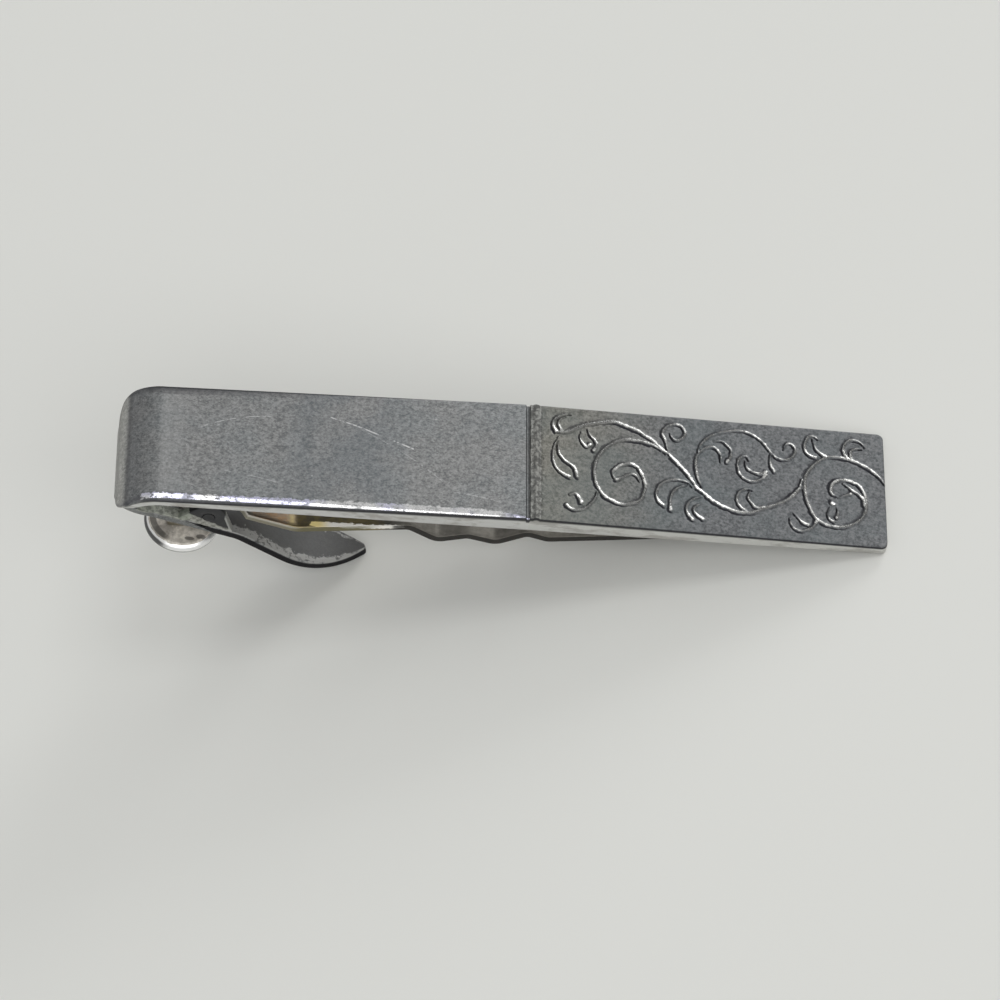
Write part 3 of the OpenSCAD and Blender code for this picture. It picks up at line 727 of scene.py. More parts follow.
def struck_relief_tree():
    """Raises the vine from the front of the sheet: a round back on each strand, with a shallow
    trench beside it, and a fine grain over all."""
    tree, given = new_shaper("struck relief", {
        "Sheet": "Geometry", "Vine": "Object", "Strand height": 0.12, "Trench depth": 0.05, "Lean": 0.3,
        "Grain depth": 0.02, "Bead roughness": 0.2, "Finish": "Material"})
    diagonal = math.sqrt(0.5)
    strands = read(tree, "GeometryNodeResampleCurve", {"Curve": object_shape(given["Vine"]), "Length": 0.05 * mm},
                   mode="LENGTH")
    strands = store(strands, "half width", read(tree, "GeometryNodeInputRadius"))
    # strands that run down to the right, and all tips, are marked, for the painted highlights of the struck plate
    tip = ramp(read(tree, "GeometryNodeSplineParameter", None, "Factor"), 0.82, 0.95)
    slant = vector("DOT_PRODUCT", read(tree, "GeometryNodeInputTangent"), (diagonal, -diagonal, 0), "Value")
    strands = store(strands, "slant", calc("MAXIMUM", calc("ABSOLUTE", slant), tip))
    lines = read(tree, "GeometryNodeCurveToMesh", {"Curve": strands})
    here = read(tree, "GeometryNodeInputPosition")
    nearest = read(tree, "GeometryNodeSampleNearest", {"Geometry": lines}, domain="POINT")
    half, slant = (read(tree, "GeometryNodeSampleIndex", {"Geometry": lines, "Value": named(tree, name),
                                                          "Index": nearest}, data_type="FLOAT", domain="POINT")
                   for name in ("half width", "slant"))
    distance = read(tree, "GeometryNodeProximity", {0: lines}, "Distance", target_element="EDGES")
    uneven_half = half * (noise(here, 2600.0, 2.0) * 0.9 + 0.4)
    ratio = distance / mm / uneven_half
    inside = clamped(1.0 - ratio * ratio)
    crest = calc("POWER", inside, 0.55)
    # each strand leans to the right and away, with a trench along its left side
    out_of_line = vector("SUBTRACT", here, distance.also("Position"))
    lean = vector("DOT_PRODUCT", out_of_line, (-diagonal / mm, -diagonal / mm, 0), "Value")
    leftness = vector("DOT_PRODUCT", vector("NORMALIZE", out_of_line), (-0.95, -0.3, 0), "Value")
    leftness = clamped(leftness * 0.9 + 0.5)
    beside = (ratio - 1.4) / 0.65
    trench = clamped(1.0 - beside * beside) * leftness
    front = clamped(1.0 - (named(tree, "face") * 20.0 + named(tree, "edge")))
    grain_up = (noise(here, 5200.0, 3.0, 0.7) - 0.5) * given["Grain depth"]
    # the bead beside the seam is struck rough
    by_seam = ramp(named(tree, "along"), -ridge_x - 1.3, -ridge_x - 0.9)
    lump_up = (noise(here, 1900.0, 3.0, 0.7) - 0.55) * given["Bead roughness"] * by_seam
    up = crest * given["Strand height"] + (grain_up + lump_up) + lean * crest * given["Lean"]
    up = (up - trench * given["Trench depth"]) * front * mm
    offset = read(tree, "ShaderNodeCombineXYZ", {"Z": up})
    raised = read(tree, "GeometryNodeSetPosition", {"Geometry": given["Sheet"], "Offset": offset})
    for name, value in (("crest", crest * front), ("trench", trench * front), ("slanted", slant * slant * slant)):
        raised = store(raised, name, value)
    return close_shaper(raised, given["Finish"])


def struck_plate():
    """The struck half: a dull, grained ground with black beside the strands, partly patina and partly painted shade,
    and strands worn lighter on top with painted highlights where they run down to the right."""
    material, tree = new_finish("struck plate")
    face, along, crest, trench, slanted = marks(tree, "face", "along", "crest", "trench", "slanted")
    small, _ = grain(tree, 4600.0)
    tiny, _ = grain(tree, 11000.0)
    clouds, patches = grain(tree, 2200.0)
    tone = clamped((small - 0.5) * 3.0 + ((clouds - 0.5) * 1.8 + 0.5))
    # the ground is a little olive by the seam and cooler towards the free end
    olive = ramp(along, -44.0, -31.0)
    low_tone = mix(olive, (0.082, 0.086, 0.09), (0.12, 0.119, 0.105))
    high_tone = mix(olive, (0.2, 0.205, 0.21), (0.255, 0.25, 0.225))
    colour = mix(tone, low_tone, high_tone)
    colour = mix(ramp(patches, 0.4, 0.7) * 0.3, colour, (0.12, 0.15, 0.155))
    # the strands' backs are worn lighter, with gaps, and carry painted highlights where they run down to the right
    # and at their tips; their trenches are painted black, as patina and as painted shade on the strands' left sides
    worn = ragged(crest, 0.62, 0.9, 2600.0, 0.25)
    bright = ramp(slanted, 0.15, 0.8) * (ramp(clouds, 0.4, 0.58) * 0.75 + 0.25)
    bright = bright * (ramp(patches, 0.36, 0.54) * 0.5 + 0.5)
    colour = mix(worn, colour, mix(bright, (0.19, 0.19, 0.185), (0.62, 0.62, 0.6)))
    dark = ragged(trench, 0.4, 0.8, 2600.0, 0.35)
    colour = mix(dark * (ramp(slanted, 0.0, 0.5) * 0.3 + 0.66), colour, (0.03, 0.03, 0.035))
    # a thin dark line of painted shade runs along the long rounded edges, and the side is painted light, a painted
    # reflection of the pale floor
    line = between(face, 0.2, 0.45, 0.55, 0.75)
    colour = mix(line * 0.85, colour, (0.04, 0.04, 0.045))
    smears, _ = grain(tree, 1300.0, 0.3)
    side_reflection_colour = mix(ramp(smears, 0.36, 0.56), (0.5, 0.49, 0.47), (0.7, 0.7, 0.68))
    colour = mix(ramp(face, 0.55, 0.75), colour, side_reflection_colour)
    # the bead beside the seam is rubbed light in places, with black left in its hollows
    top = ramp(face, 0.3, 0.1)
    by_seam = ramp(along, -ridge_x - 1.0, -ridge_x - 0.7) * top
    colour = mix(ragged(by_seam, 0.55, 1.2, 2000.0, 0.15) * 0.6, colour, (0.44, 0.44, 0.42))
    hollow = ramp(along, -ridge_x - 1.15, -ridge_x - 0.8) * top * ramp(grain(tree, 2900.0)[0], 0.58, 0.44)
    colour = mix(hollow * 0.6, colour, 0.05)
    rough = (small - 0.5) * 0.3 + 0.5 - worn * 0.24 + by_seam * 0.2
    return dress(material, colour, rough, 1.0, tiny * 0.6 + small, 0.4, 0.00005)


relief_sheet = run_tree(relief_sheet, struck_relief_tree(), vine=vine_paths, strand_height=0.07, trench_depth=0.045,
                        lean=0.26, grain_depth=0.03, bead_roughness=0.32, finish=struck_plate())
tidy_faces(relief_sheet)
bpy.data.objects.remove(vine_paths)
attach(relief_sheet, "bar")
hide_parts("front_bar")


# Ears of the arm
# Two ears are turned up from the arm's edges, of the same plated sheet. Each is rounded about the
# pin that it holds, and a slot between them lets the lever's tail through the arm.
pin_x, pin_r, pin_h = 7.2, 0.45, 1.0
ear_t, ear_r, ear_back, ear_front = 0.6, 1.3, 2.1, 2.4
side_gap, pin_gap, ear_gap = 0.05, 0.04, 0.01
tail_x, tail_w = 5.8, 2.0
slot_back, slot_front, slot_side = 1.1, 0.4, 0.2
ear_sink, ear_shoulder = 0.04, 30
arm_lean = math.radians(arm_slope)
arm_dir = np.array([math.cos(arm_lean), -math.sin(arm_lean)])
arm_up = np.array([math.sin(arm_lean), math.cos(arm_lean)])
arm_start = np.array([fold_r, sheet_t - fold_r]) - (fold_r - sheet_t) * arm_up
pin_at = arm_start + (pin_x - arm_start[0] - pin_h * arm_up[0]) / arm_dir[0] * arm_dir + pin_h * arm_up


def ray_to_polygon(corners, angle):
    """Distance from the origin to a convex outline about it, along one direction."""
    d = np.array([math.cos(angle), math.sin(angle)])
    best = math.inf
    for a, b in zip(corners, corners[1:] + corners[:1]):
        a, e = np.array(a, float), np.array(b, float) - np.array(a, float)
        cross = d[0] * e[1] - d[1] * e[0]
        if abs(cross) > 1e-9:
            t, s = (a[0] * e[1] - a[1] * e[0]) / cross, (a[0] * d[1] - a[1] * d[0]) / cross
            if t > 0 and -1e-6 <= s <= 1 + 1e-6:
                best = min(best, t)
    return best


def plate_on_pin(name, reach, hole, near, far, soft, count=120):
    """A flat plate with a round hole, standing about the pin between two distances from the bar's
    middle plane. reach(angle) is the distance from the pin to its rim, and soft rounds its edges."""
    verts, marks = [], []
    for k in range(count):
        angle = 2 * math.pi * k / count
        rim = reach(angle)
        step = math.copysign(soft, far - near)
        loop = [(rim - soft, near, 1), (rim, near + step, 1), (rim, far - step, 1), (rim - soft, far, 1),
                ((rim + hole) / 2, far, 0), (hole + soft, far, 1), (hole, far - step, 1), (hole, near + step, 1),
                (hole + soft, near, 1), ((rim + hole) / 2, near, 0)]
        for r, y, edge in loop:
            x, z = pin_at + r * (math.cos(angle) * arm_dir + math.sin(angle) * arm_up)
            verts.append(framed(x, y, z))
            marks.append((edge, abs(y - near) / abs(far - near), r * math.cos(angle), r * math.sin(angle)))
    return make_piece(name, verts, ring_faces(count, len(loop), count), marks)


# the ear's foot is sunk a little into the arm, and its sides run up to the round part
ear_foot = -pin_h - ear_sink
ear_side = (ear_r * math.cos(math.radians(ear_shoulder)), ear_r * math.sin(math.radians(ear_shoulder)))
ear_corners = [(-ear_back, ear_foot), (ear_front, ear_foot), ear_side, (-ear_side[0], ear_side[1])]


def ear_plate():
    """The ears' plate: painted dark above as shade under the bar, with a mottled light band along the foot that is
    partly wear and partly a painted reflection of the floor, and a painted highlight on the front edge.
    """
    material, tree = new_finish("ear plate")
    edge, ahead, up = marks(tree, "edge", "along", "across")
    small, _ = grain(tree, 2600.0)
    # the light band along the foot, partly wear and partly a painted reflection of the floor, grows wider towards the
    # back; above it the ear is painted dark as shade under the bar
    band = ragged(ahead * -0.2 - up, 0.4, 0.5, 1900.0, 0.08)
    mottle = mix(ramp(small, 0.35, 0.65), (0.14, 0.14, 0.125), (0.46, 0.46, 0.42))
    colour = mix(band, (0.075, 0.075, 0.078), mottle)
    green = ragged(ramp(ahead, -0.4, -1.8), 0.6, 0.8, 1900.0, 0.2)
    colour = mix(green * band * 0.6, colour, (0.3, 0.34, 0.27))
    # the sloped front edge is painted light as a highlight, where it catches light from above
    lit_front_edge = ragged(ramp(edge, 0.5, 0.9) * ramp(ahead, 0.9, 1.3), 0.5, 1.5, 2200.0, 0.25)
    colour = mix(lit_front_edge * 0.8, colour, (0.55, 0.55, 0.53))
    return dress(material, colour, small * 0.3 + 0.35, band * -0.6 + 1.0, small, 0.4, 0.00005)


ear_finish = ear_plate()
for side, name in ((-1, "near_ear"), (1, "far_ear")):
    ear = plate_on_pin(name, lambda a: max(ear_r, ray_to_polygon(ear_corners, a)), pin_r + ear_gap,
                       side * (arm_w / 2 - ear_t), side * arm_w / 2, edge_r)
    ear.data.materials.append(ear_finish)
    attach(ear, "bar")
    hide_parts("front_bar")


def cut_box(piece, low, high):
    """Cuts a box out of a piece."""
    verts = [framed(x, y, z) for x in (low[0], high[0]) for y in (low[1], high[1]) for z in (low[2], high[2])]
    faces = [[0, 1, 3, 2], [4, 6, 7, 5], [0, 4, 5, 1], [2, 3, 7, 6], [0, 2, 6, 4], [1, 5, 7, 3]]
    cutter = make_piece("cutter", verts, faces)
    cut = piece.modifiers.new("slot", "BOOLEAN")
    cut.operation, cut.solver, cut.object = "DIFFERENCE", "EXACT", cutter
    settle(piece)
    bpy.data.objects.remove(cutter)


cut_box(plain_sheet, (tail_x - slot_back, -tail_w / 2 - slot_side, pin_at[1] - pin_h - 2 * sheet_t),
        (tail_x + slot_front, tail_w / 2 + slot_side, pin_at[1] + pin_h))
tidy_faces(plain_sheet)


# Pivot pin
# A short steel pin that goes through both ears and both lugs. Its ends are filed flush and dull.
def dull_steel(name, colour, roughness):
    """Steel with fine speckle and a few dull patches."""
    material, tree = new_finish(name)
    small, patches = grain(tree, 3500.0)
    share = clamped((small - 0.5) * 2.0 + patches)
    colour = mix(share, tuple(0.55 * c for c in colour), colour)
    return dress(material, colour, patches * 0.25 + roughness, 1.0, small, 0.2, 0.00003)


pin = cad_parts["pivot_pin"]
pin.material_slots[0].material = dull_steel("pin steel", (0.09, 0.09, 0.093), 0.4)


# Torsion spring
# Steel wire wound about the pin between the lugs. One leg bears on the arm and one on the lever.
wire_d, coil_turns, leg_len, rings_in_turn, spring_gap = 0.3, 2, 2.2, 48, 0.02
coil_r = pin_h - spring_gap - wire_d / 2
wire_turns = coil_turns + 0.5
lug_out = arm_w / 2 - ear_t - side_gap
lug_t = 0.45
lug_in = lug_out - lug_t
coil_pitch = (2 * lug_in - wire_d - 2 * side_gap) / wire_turns


def wire_points():
    """Points of the wire's middle line: its lower leg, the coil and its upper leg."""
    line = [(leg_len, -coil_r, 0.0)]
    for k in range(round(rings_in_turn * wire_turns) + 1):
        a = math.radians(-90 - 360 * k / rings_in_turn)
        line.append((coil_r * math.cos(a), coil_r * math.sin(a), k / rings_in_turn))
    line.append((leg_len, coil_r, wire_turns))
    points = []
    for ahead, up, turns in line:
        x, z = pin_at + ahead * arm_dir + up * arm_up
        points.append(framed(x, (wire_turns / 2 - turns) * coil_pitch, z))
    return points


def round_wire_tree():
    """A round wire of one thickness along a path."""
    tree, given = new_shaper("round wire", {"Start": "Geometry", "Path": "Object", "Thickness": 0.3,
                                            "Finish": "Material"})
    ring = read(tree, "GeometryNodeCurvePrimitiveCircle", {"Resolution": 16, "Radius": given["Thickness"] * (mm / 2)},
                "Curve")
    wire = read(tree, "GeometryNodeCurveToMesh", {"Curve": object_shape(given["Path"]), "Profile Curve": ring,
                                                  "Fill Caps": True})
    return close_shaper(wire, given["Finish"])


path = bpy.data.curves.new("wire_path", "CURVE")
path.dimensions = "3D"
spline = path.splines.new("POLY")
spline.points.add(len(wire_points()) - 1)
for point, where in zip(spline.points, wire_points()):
    point.co = (*where, 1)
wire_path = add_object("wire_path", path)
spring = run_tree(make_piece("spring_wire", [], []), round_wire_tree(), path=wire_path, thickness=wire_d,
                  finish=dull_steel("spring steel", (0.5, 0.5, 0.52), 0.22))
tidy_faces(spring)
bpy.data.objects.remove(wire_path)
# one leg bears on the arm and the other on the lever; the spring is baked in place as one fixed piece, and leg_y is
# worked out but not used
leg_y = (wire_turns / 2 * coil_pitch - wire_d) * mm
-leg_y
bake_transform(spring)
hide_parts("torsion_spring")


# Lever
# One strip of brass, bent into a foot, a tail, a corrugated jaw and a nose with a short lip. Two
# lugs stand down from it on the pin, and its foot is soldered to the thumb disc.
strip_t, jaw_w, lug_r = 0.6, 4.4, 0.85
foot_len, sag_x, crest_x, crest_pitch, trough_step, last_step = 1.6, 13.8, 22.3, 4.45, 2.2, 1.6
crest_z, trough_z = (5.08, 5.73, 4.93), (6.5, 6.32, 5.48)
run_slope, rise_slope, nose_x, nose_r = 9.4, 23.5, 51.0, 1.5
lip_slope, lip_len, lip_end_r, nose_gap = 20.0, 1.6, 3.6, 0.03
shoulder_x, shoulder_run, flare_run = tail_x + 0.4, 0.3, 0.35
lug_soft, lug_foot, end_soft, strip_edge = 0.05, -0.01, 0.06, 0.07
disc_d, disc_x, disc_z, disc_flat_d, disc_drop, disc_t = 5.7, 5.33, 9.6, 4.2, 0.5, 0.45
strip_over = pin_h + strip_t / 2
arm_tan = math.tan(arm_lean)
strip_z0 = pin_at[1] + strip_over / math.cos(arm_lean) + pin_at[0] * arm_tan
foot_z = -disc_z + disc_t + disc_drop + strip_t / 2
rise_tan, run_tan = math.tan(math.radians(rise_slope)), math.tan(math.radians(run_slope))
half_turn = math.cos(math.radians((rise_slope + lip_slope) / 2))
nose_z = -nose_gap - strip_t / 2 + nose_r * (math.cos(math.radians((rise_slope - lip_slope) / 2)) / half_turn - 1)
last_trough = (crest_x + 2 * crest_pitch + last_step, -trough_z[2])
rise_x = (nose_z - rise_tan * nose_x - last_trough[1] + run_tan * last_trough[0]) / (run_tan - rise_tan)
lever_corners = [
    (tail_x - foot_len, foot_z, 0), (tail_x, foot_z, 0.6), (tail_x, strip_z0 - tail_x * arm_tan, 0.7),
    (sag_x, strip_z0 - sag_x * arm_tan, 1.6), (crest_x, -crest_z[0], 0.9),
    (crest_x + trough_step, -trough_z[0], 1.1), (crest_x + crest_pitch, -crest_z[1], 0.9),
    (crest_x + crest_pitch + trough_step, -trough_z[1], 1.1), (crest_x + 2 * crest_pitch, -crest_z[2], 0.9),
    (*last_trough, 1.1), (rise_x, last_trough[1] + (rise_x - last_trough[0]) * run_tan, 8.0),
    (nose_x, nose_z, nose_r),
    (nose_x + lip_len * math.cos(math.radians(lip_slope)), nose_z - lip_len * math.sin(math.radians(lip_slope)), 0)]


def bent_line(corners, step=0.3):
    """Stations along a strip's middle line, each a point and the strip's direction there. A corner
    is (x, height, radius of the bend)."""
    points = [np.array(c[:2], float) for c in corners]
    line = []
    start = points[0]
    for i in range(1, len(points)):
        first = math.atan2(*(points[i] - points[i - 1])[::-1])
        if i == len(points) - 1:
            end, turn = points[i], 0.0
        else:
            second = math.atan2(*(points[i + 1] - points[i])[::-1])
            turn = (second - first + math.pi) % (2 * math.pi) - math.pi
            back = corners[i][2] * math.tan(abs(turn) / 2)
            end = points[i] - back * way(first)
        count = max(1, round(np.linalg.norm(end - start) / step))
        line += [(start + (end - start) * k / count, first) for k in range(count)]
        if turn:
            arm = math.copysign(corners[i][2], turn)
            centre = end + arm * way(first + math.pi / 2)
            count = max(2, round(abs(turn) * corners[i][2] / (step / 3)))
            for k in range(count):
                a = first + turn * k / count
                line.append((centre - arm * way(a + math.pi / 2), a))
            start = centre - arm * way(second + math.pi / 2)
        else:
            line.append((end, first))
    return line


def smooth_step(x, start, reach):
    """0 at start and 1 one reach further on, with a smooth step between them."""
    t = min(1.0, max(0.0, (x - start) / reach))
    return t * t * (3 - 2 * t)


def lever_half_width(x):
    """Half the width of the lever's strip, x mm from the fold."""
    if x < shoulder_x:
        return tail_w / 2
    half = tail_w / 2 + (lug_out - tail_w / 2) * smooth_step(x, shoulder_x, shoulder_run)
    half += (jaw_w / 2 - lug_out) * smooth_step(x, pin_at[0] + ear_front + side_gap, flare_run)
    off = x - (nose_x + lip_len - lip_end_r)
    return min(half, math.sqrt(max(0.0, lip_end_r ** 2 - off ** 2))) if off > 0 else half


def strip_station(where, heading, travelled, inset):
    """A cross-section of the lever's strip about a point of its middle line."""
    up, half = way(heading + math.pi / 2), lever_half_width(where[0])
    return where + strip_t / 2 * up, where - strip_t / 2 * up, half, half, strip_edge, strip_edge, inset, travelled


lever_stations = []
travelled = 0.0
line = bent_line(lever_corners)
for k, (where, heading) in enumerate(line):
    travelled += float(np.linalg.norm(where - line[k - 1][0])) if k else 0.0
    lever_stations.append(strip_station(where, heading, travelled, end_soft if k in (0, len(line) - 1) else 0.0))
    if k in (0, len(line) - 2):
        step = line[k + 1][0] - where
        step *= end_soft / np.linalg.norm(step)
        spot = where + step if k == 0 else line[k + 1][0] - step
        lever_stations.append(strip_station(spot, heading, travelled, 0.0))
lever = loft_sheet("lever_strip", lever_stations, 8)
lug_reach = [(-lug_r, lug_foot), (lug_r, lug_foot), (lug_r, strip_over), (-lug_r, strip_over)]
lever_pieces = [lever]
for side, name in ((-1, "near_lug"), (1, "far_lug")):
    lever_pieces.append(plate_on_pin(name, lambda a: max(lug_r, ray_to_polygon(lug_reach, a)), pin_r + pin_gap,
                                     side * lug_in, side * lug_out, lug_soft, 72))


def worn_brass():
    """Plated brass strip: dull grey-brown, orange and gold patches, a painted white highlight streak along its near
    edge, and black along the edge of its corrugations."""
    material, tree = new_finish("worn brass")
    face, across = marks(tree, "face", "across")
    small, patches = grain(tree, 2400.0, 0.7)
    tone = clamped((small - 0.5) * 1.6 + patches)
    colour = mix(tone, (0.17, 0.16, 0.14), (0.34, 0.325, 0.29))
    here = read(tree, "ShaderNodeSeparateXYZ", {0: object_spot(tree)}, "X") / mm + bar_len / 2
    orange = between(here, 9.8, 11.4, 13.5, 15.5)
    gold = between(here, 12.6, 14.0, 18.0, 22.0)
    for value, shade in ((orange, (0.31, 0.2, 0.11)), (gold, (0.42, 0.35, 0.18))):
        patch = ragged(value, 0.45, 1.0, 1100.0, 0.3) * (ramp(tone, 0.25, 0.6) * 0.5 + 0.4)
        colour = mix(patch, colour, shade)
    # a painted highlight streak starts yellow on the front and crosses its near edge on to the side
    level = face * -0.3 + across
    streak = read(tree, "ShaderNodeMapRange", {"Value": here, "From Min": 14.0, "From Max": 19.5, "To Min": -0.78,
                                               "To Max": -1.15}, "Result")
    streak_w = ramp(here, 14.8, 17.5) * 0.16 + 0.13
    pale = between(here, 14.5, 15.3, 21.0, 22.8) * ramp(calc("ABSOLUTE", level - streak), streak_w, 0.06)
    pale = ragged(pale, 0.47, 1.9, 2600.0, 0.1)
    colour = mix(pale, colour, mix(ramp(here, 15.4, 16.6), (0.95, 0.78, 0.34), (1.0, 0.98, 0.9)))
    # the near edge is light beside the pin, then olive, and black from the corrugations on
    side = between(face, 0.3, 0.5, 1.5, 1.75)
    edge_here = side * ramp(here, 20.5, 18.5)
    edge_colour = mix(ramp(here, 13.2, 14.4), (0.36, 0.34, 0.27), (0.2, 0.19, 0.12))
    colour = mix(edge_here * 0.8, colour, edge_colour)
    # a thin painted highlight runs along the top of the near edge towards the pin
    line = edge_here * ramp(face, 0.85, 0.6) * ramp(here, 14.5, 13.0)
    colour = mix(line * 0.8, colour, (0.6, 0.58, 0.52))
    black = ragged(side * ramp(here, 20.0, 22.0), 0.5, 0.6, 1200.0, 0.15)
    colour = mix(black * 0.9, colour, (0.03, 0.028, 0.026))
    # the corrugations are duller than the rest
    dull = ramp(here, 20.5, 22.5)
    rough = dull * 0.25 + (patches * 0.3 + 0.2)
    metallic = clamped(dull * -0.35 + 1.0 - pale)
    return dress(material, colour, rough, metallic, small, 0.25, 0.00005)


lever_finish = worn_brass()
for piece in lever_pieces:
    piece.data.materials.append(lever_finish)
    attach(piece, "jaw")
    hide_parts("lever")


# Thumb disc
# A round blank of sheet, pressed into a shallow dish with a rolled-over rim, and soldered under the
# lever's foot. The thumb pushes it to open the jaw.
def turned(name, profile, centre, count=144):
    """A closed turned piece about a vertical line. The profile is (radius, height) from the middle
    of its top round the rim to the middle of its underside."""
    verts, marks = [], []
    for r, z, edge in profile:
        if r == 0:
            verts.append(framed(centre[0], 0, centre[1] + z))
            marks.append((edge, z, 0.0, 0.0))
        else:
            for k in range(count):
                a = 2 * math.pi * k / count
                verts.append(framed(centre[0] + r * math.cos(a), r * math.sin(a), centre[1] + z))
                marks.append((edge, z, r, a))
    faces = []
    rows = len(profile) - 2
    last = 1 + rows * count
    for k in range(count):
        n = (k + 1) % count
        faces.append([0, 1 + k, 1 + n])
        for row in range(rows - 1):
            a, b = 1 + row * count, 1 + (row + 1) * count
            faces.append([a + k, b + k, b + n, a + n])
        faces.append([last, last - count + n, last - count + k])
    return make_piece(name, verts, faces, marks)


crown_run, crown_share, brim_start, brim_run, brim_curve = disc_flat_d / 4 + 0.15, 0.45, 0.3, 0.38, 1.15
ring_step, first_ring, rim_gap = 0.045, 1.85, 0.1


def disc_height(r):
    """Height of the disc's underside over its rim, r mm from its middle: a low crown and a brim."""
    crown = smooth_step(r, disc_flat_d / 4, crown_run)
    brim = min(1.0, max(0.0, (r - disc_flat_d / 2 - brim_start) / (disc_d / 2 - disc_flat_d / 2 - brim_run)))
    return disc_drop * (1 - crown_share * crown - (1 - crown_share) * brim ** brim_curve)


disc_profile = [(0, disc_height(0) + disc_t, 0.0)]
radii = [0.3 * k for k in range(1, 7)] + list(np.arange(first_ring, disc_d / 2 - rim_gap, ring_step))
disc_profile += [(r, disc_height(r) + disc_t, 0.0) for r in radii]
for turned_by in range(44, 181, 17):
    a = math.radians(turned_by)
    disc_profile.append((disc_d / 2 - disc_t / 4 * (1 - math.sin(a)), disc_t / 2 * (1 + math.cos(a)), 1.0))
disc_profile += [(r, disc_height(r), 0.0) for r in radii[::-1]]
disc_profile.append((0, disc_height(0), 0.0))


def dished_plate():
    """The disc's plate: a brown film with dark blotches in the dish, painted light partly as a painted reflection,
    and a rolled rim painted white as a highlight and painted black as shade on its left."""
    material, tree = new_finish("dished plate")
    edge, high, out, turn = marks(tree, "edge", "face", "along", "across")
    small, patches = grain(tree, 2400.0)
    # the dish's brown film is painted light, partly as a painted reflection of the arm above it
    colour = mix(ramp(small, 0.3, 0.7), (0.5, 0.46, 0.4), (0.84, 0.79, 0.71))
    stain = 1.0 - ragged(patches, 0.42, 0.5, 1000.0, 0.05)
    colour = mix(stain * 0.5, colour, (0.09, 0.08, 0.07))
    # two dark blotches in the near half of the dish, in mm from the disc's middle
    for x, y, wide, deep in ((0.64, -1.95, 0.36, 0.15), (1.5, -1.72, 0.36, 0.2)):
        off = vector("SUBTRACT", object_spot(tree), ((disc_x - bar_len / 2 + x) * mm, y * mm, 0))
        off = vector("MULTIPLY", off, (1 / (wide * mm), 1 / (deep * mm), 0))
        blotch = ragged(ramp(vector("LENGTH", off, output="Value"), 1.6, 0.4), 0.5, 0.9, 2200.0, 0.2)
        colour = mix(blotch * 0.8, colour, (0.12, 0.11, 0.1))
    # the rolled rim and the dish's outer edge are painted white as a highlight
    rim = calc("MAXIMUM", ragged(ramp(out, 2.4, 2.7), 0.5, 0.9, 2200.0, 0.08), edge)
    colour = mix(rim, colour, (0.95, 0.95, 0.93))
    # the lower half of the rolled rim is darker
    lower_rim_dark = ragged(edge * ramp(high, 0.3, 0.16), 0.5, 0.8, 2200.0, 0.25)
    colour = mix(lower_rim_dark * 0.75, colour, (0.2, 0.2, 0.19))
    # the rim's left side and a ring inside it are painted black as shade
    left = between(turn, 2.2, 3.0, 3.8, 4.6)
    black = ragged(left * ramp(out, 2.62, 2.76), 0.42, 0.6, 1600.0, 0.3)
    colour = mix(black * 0.9, colour, 0.05)
    inner_ring = ragged(between(out, 1.85, 2.1, 2.4, 2.5) * left, 0.5, 0.8, 2000.0, 0.25)
    colour = mix(inner_ring * 0.8, colour, (0.1, 0.095, 0.085))
    metallic = edge * (1.0 - black) * -0.6 + (rim * 0.65 + 0.25)
    return dress(material, colour, rim * -0.2 + 0.5, metallic, small, 0.25, 0.00005)


disc = turned("dished_disc", disc_profile, (disc_x, -disc_z))
disc.data.materials.append(dished_plate())
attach(disc, "jaw")
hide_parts("thumb_disc")


# Camera
# It stands where the photograph was taken from: 55 degrees above the bar and a little to the left,
# rolled so that the bar falls to the right, with a long lens.
elevation, azimuth, roll = math.radians(55), math.radians(8.91), math.radians(11.18)
aim, distance, lens_ratio = Vector((-0.22, -2.64, 0)), 384.4, 5.164
toward = Vector((-math.sin(azimuth) * math.cos(elevation), -math.cos(azimuth) * math.cos(elevation),
                 math.sin(elevation)))
right = (-toward).cross(Vector((0, 0, 1))).normalized()
above = right.cross(-toward)
turned_right = math.cos(roll) * right + math.sin(roll) * above
turned_up = -math.sin(roll) * right + math.cos(roll) * above
camera_data = bpy.data.cameras.new("camera")
camera_data.sensor_width = 36
camera_data.lens = lens_ratio * camera_data.sensor_width
camera_data.clip_start, camera_data.clip_end = 0.01, 20
camera = add_object("camera", camera_data)
camera.matrix_world = Matrix.Translation((aim + toward * distance) * mm) @ Matrix(
    (turned_right, turned_up, toward)).transposed().to_4x4()
bpy.context.scene.camera = camera


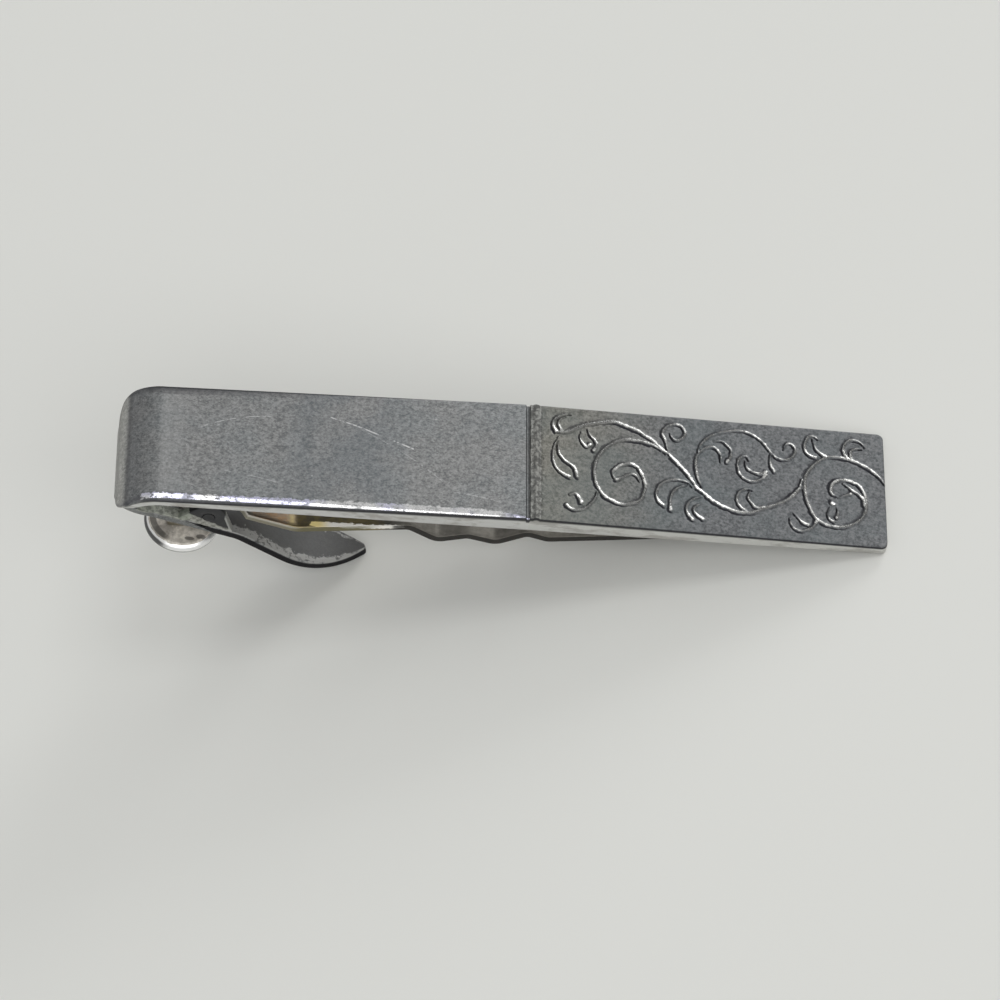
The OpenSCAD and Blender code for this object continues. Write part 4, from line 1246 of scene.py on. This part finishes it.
# Floor
# A plain pale floor, which touches the bar's free end and the tongue's lowest point, so it leans.
# Three softboxes and a grey sky light the clip.
tongue_x, tongue_drop = 19.5, 11.96
floor_half_l, floor_half_w, floor_gap = 62, 70, 0.03
floor_lean = math.atan2(tongue_drop, bar_len - tongue_x)
floor_verts = []
for x, y in ((-1, -1), (1, -1), (1, 1), (-1, 1)):
    height = (x * floor_half_l - bar_len / 2) * math.tan(floor_lean) - floor_gap
    floor_verts.append((x * floor_half_l * mm, y * floor_half_w * mm, height * mm))
floor_mesh = bpy.data.meshes.new("floor")
floor_mesh.from_pydata(floor_verts, [], [[0, 1, 2, 3]])
floor = add_object("floor", floor_mesh)
floor_paint, floor_tree = new_finish("pale floor")
floor_shader = floor_tree.nodes["Principled BSDF"].inputs
floor_shader["Base Color"].default_value = (0.73, 0.735, 0.705, 1)
floor_shader["Roughness"].default_value = 0.9
floor_mesh.materials.append(floor_paint)

world = bpy.data.worlds.new("studio")
bpy.context.scene.world = world
world.use_nodes = True
sky = world.node_tree
sky_way = read(sky, "ShaderNodeTexCoord", None, "Generated")
sky_height = read(sky, "ShaderNodeSeparateXYZ", {0: sky_way}, "Z")
sky_colour = mix(ramp(sky_height, 0.1, 0.8), (0.5, 0.5, 0.505), (0.52, 0.52, 0.515))
put(sky, sky.nodes["Background"].inputs["Color"], sky_colour)
for name, stand, width, depth, watts in (("overhead softbox", (0.0, 0.12, 0.99), 0.5, 0.24, 1.3),
                                         ("back softbox", (0.37, 0.81, 0.45), 0.36, 0.46, 3.0),
                                         ("front softbox", (0.09, -0.62, 0.78), 1.2, 0.6, 3.4)):
    lamp_data = bpy.data.lights.new(name, "AREA")
    lamp_data.shape, lamp_data.size, lamp_data.size_y, lamp_data.energy = "RECTANGLE", width, depth, watts
    lamp = add_object(name, lamp_data)
    lamp.location = Vector(stand).normalized()
    lamp.rotation_euler = (-lamp.location).to_track_quat("-Z", "Y").to_euler()
bpy.context.scene.view_settings.view_transform = "Standard"
